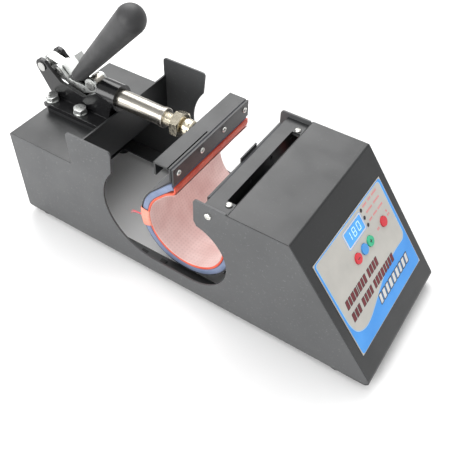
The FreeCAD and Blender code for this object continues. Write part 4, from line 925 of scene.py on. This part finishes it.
first_row = [5.0, 4.4, 5.6, 4.6, 1.6, 5.0, 4.4, 4.8, -3.0, 4.6, 5.0, 4.6, 4.8]
second_row = [5.4, 4.8, 4.8, -3.2, 5.2, 4.4, 5.2, 4.4, -3.2, 4.4, 4.8, 5.0, 5.2, 4.4, 4.2, 4.8, 5.2]
third_row = [6.2, 7.0, 6.4, 7.2, 6.6, 7.0, 6.2, 6.8, 6.4]
INK = 0.16 * MM
FIRST = (52.4, 61.6, -58.4, first_row, 0.9, 1.2)
SECOND = (67.0, 76.0, -58.6, second_row, 0.9, 1.2)
EMBLEM = (82.6, 93.6, -15, third_row, 1.0, 2.0)
printed("label_row_edges", word_row(*FIRST) + word_row(*SECOND), INK, "label_dark")


def inset_row(s0, s1, start, widths, gap, slant, by=0.55):
    """The same blocks, each smaller all round."""
    shapes, at = [], start
    for w in widths:
        if w > 0 and w > 2 * by + 0.4:
            shapes.append(bar(s0 + by, s1 - by, at + by, at + w - by, 0.4, slant * 0.9))
        at += abs(w) + (gap if w > 0 else 0)
    return shapes


printed("label_rows", inset_row(*FIRST) + inset_row(*SECOND), INK + 0.05 * MM, "label_red")
printed("label_emblem_edges", word_row(*EMBLEM), INK, "label_dark")
printed("label_emblem", inset_row(*EMBLEM, by=1.0), INK + 0.05 * MM, "label_white")
small = []
for s, ends in ((4.4, (26, 35, 37.5, 44, 46, 57)), (12.0, (27.5, 41, 43.5, 57)), (20.6, (26, 33, 35, 43, 45.5, 56))):
    for y0, y1 in zip(ends[::2], ends[1::2]):
        at = y0
        while at < y1 - 1:
            small.append(bar(s, s + 2.3, at, at + 1.5, 0.3, 0.2))
            at += 2.1
small += [bar(35.2, 37.8, 30.6, 32.2, 0.3), bar(35.2, 37.8, 33.0, 34.6, 0.3), bar(35.2, 37.8, 54.6, 56.2, 0.3),
          bar(35.2, 37.8, 57.0, 58.6, 0.3), bar(30.4, 33.0, 54.6, 56.8, 0.3)]
printed("label_small_rows", small, INK, "label_pink")

# the display's printed frame, and its digits


def ring_shapes(s0, s1, w, wide, radius):
    """A rounded frame, as a ring of four-sided pieces."""
    def rectangle(grow):
        return [(s0 - grow, -w - grow), (s0 - grow, w + grow), (s1 + grow, w + grow), (s1 + grow, -w - grow)]
    outer = mm_outline(rectangle(wide), radius + wide, 6)
    inner = mm_outline(rectangle(0), radius, 6)
    pairs = [(i, (i + 1) % len(outer)) for i in range(len(outer))]
    return [[outer[i], outer[n], inner[n], inner[i]] for i, n in pairs]


printed("display_frame", ring_shapes(s0 + 0.7, s1 - 0.7, W - 0.7, 1.6, 1.4), INK, "label_white")
printed("display_frame_line", ring_shapes(s0 - 0.8, s1 + 0.8, W + 0.8, 0.35, 2.2), INK + 0.02 * MM, "label_blue")

SEGMENTS = {"8": "abcdefg", "0": "abcdef", "1": "bc"}


def digit(shapes, text, s, y, tall=9.5, broad=5.6, t=1.0):
    """Seven-segment strokes of one digit whose top left corner is at (s, y)."""
    half = tall / 2
    upper, lower = (s + t * 0.6, s + half - t * 0.2), (s + half + t * 0.2, s + tall - t * 0.6)
    level, left, right_side = (y + t * 0.6, y + broad - t * 0.6), (y, y + t), (y + broad - t, y + broad)
    bars = {"a": (s, s + t, *level), "g": (s + half - t / 2, s + half + t / 2, *level),
            "d": (s + tall - t, s + tall, *level), "f": (*upper, *left), "b": (*upper, *right_side),
            "e": (*lower, *left), "c": (*lower, *right_side)}
    for name in SEGMENTS[text]:
        shapes.append(bar(*bars[name], 0.35))


glass_face = max(NORMAL.dot(v.co) for v in nodes["display_module"].data.vertices) - LABEL_FACE
digits = []
for k, text in enumerate("180"):
    digit(digits, text, s0 + 3.8, -12.6 + 9.2 * k)
printed("display_digits", digits, glass_face + 0.02 * MM, "digit_white")

# marks on the keys
for body, name, key, strokes in (
        ("key_down", "button_down", "minus", [(-0.45, 0.45, -2.1, 2.1)]),
        ("key_up", "button_up", "plus", [(-0.45, 0.45, -2.1, 2.1), (-2.1, 2.1, -0.45, 0.45)])):
    points = [v.co for v in nodes[name].data.vertices]
    mid_s = (min(map(DOWN.dot, points)) + max(map(DOWN.dot, points))) / 2 - LABEL_START
    face = max(map(NORMAL.dot, points)) - LABEL_FACE
    low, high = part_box(name)
    mid_y = (low.y + high.y) / 2
    shapes = [mm_outline([(mid_s / MM + a, mid_y / MM + c), (mid_s / MM + a, mid_y / MM + d),
                          (mid_s / MM + b, mid_y / MM + d), (mid_s / MM + b, mid_y / MM + c)], 0.3, 3)
              for a, b, c, d in strokes]
    printed("key_mark_" + key, shapes, face + 0.005 * MM, "label_dark", body)

# ---------------------------------------------------------------- camera, floor and light
camera = bpy.data.objects.new("camera", bpy.data.cameras.new("camera"))
scene.collection.objects.link(camera)
right, back = Vector((0.8412, 0.5402, 0.0248)).normalized(), Vector((0.3498, -0.5786, 0.7368))
back = (back - right * back.dot(right)).normalized()
up = back.cross(right)
turn = Matrix((right, up, back)).transposed()
camera.matrix_world = Matrix.Translation((0.26892, -0.41074, 0.55334)) @ turn.to_4x4()
camera.data.lens, camera.data.sensor_width = 49.95, 36
camera.data.clip_start, camera.data.clip_end = 0.01, 50
scene.camera = camera

points, faces = [], []
size, count = 3.2, 24       # half the floor's width in metres, and its squares each way
for i in range(count + 1):
    for j in range(count + 1):
        points.append((-size + 2 * size * i / count, -size + 2 * size * j / count, 0.0))
for i in range(count):
    for j in range(count):
        a = i * (count + 1) + j
        faces.append((a, a + count + 1, a + count + 2, a + 1))
mesh = bpy.data.meshes.new("floor")
mesh.from_pydata(points, [], faces)
floor = bpy.data.objects.new("floor", mesh)
scene.collection.objects.link(floor)
s = Shader("floor_paper", Roughness=0.85)
s.colour(s.blend(s.remap(s.noise(6, 4), 0, 1), srgb(246, 246, 246), srgb(250, 250, 250)))
s.bump(s.noise(400, 3), 0.05 * MM, 0.2)
mesh.materials.append(s.material)
floor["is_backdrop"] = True

world = bpy.data.worlds.new("studio")
world.use_nodes = True
background = world.node_tree.nodes["Background"]
background.inputs["Color"].default_value = (1, 1, 1, 1)
background.inputs["Strength"].default_value = 0.6
scene.world = world
scene.view_settings.view_transform = "Standard"


def area_light(name, place, target, size, power, tall=None):
    """A soft rectangular light at a place, aimed at a target; sizes in metres, power in watts."""
    data = bpy.data.lights.new(name, "AREA")
    data.shape = "RECTANGLE"
    data.size = size
    data.size_y = tall or size
    data.energy = power
    light = bpy.data.objects.new(name, data)
    scene.collection.objects.link(light)
    light.location = place
    light.rotation_euler = (Vector(target) - Vector(place)).to_track_quat("-Z", "Y").to_euler()


area_light("top_back", (-0.75, 0.95, 1.5), (0, 0, 0.1), 1.5, 30)
area_light("front_low", (-0.6, -1.5, 0.7), (0, 0, 0.05), 1.6, 24, 0.8)
area_light("overhead", (0.1, -0.1, 1.9), (0, 0, 0), 1.6, 10)

# ---------------------------------------------------------------- the bounds of the pieces shown, floor left out
low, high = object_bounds()
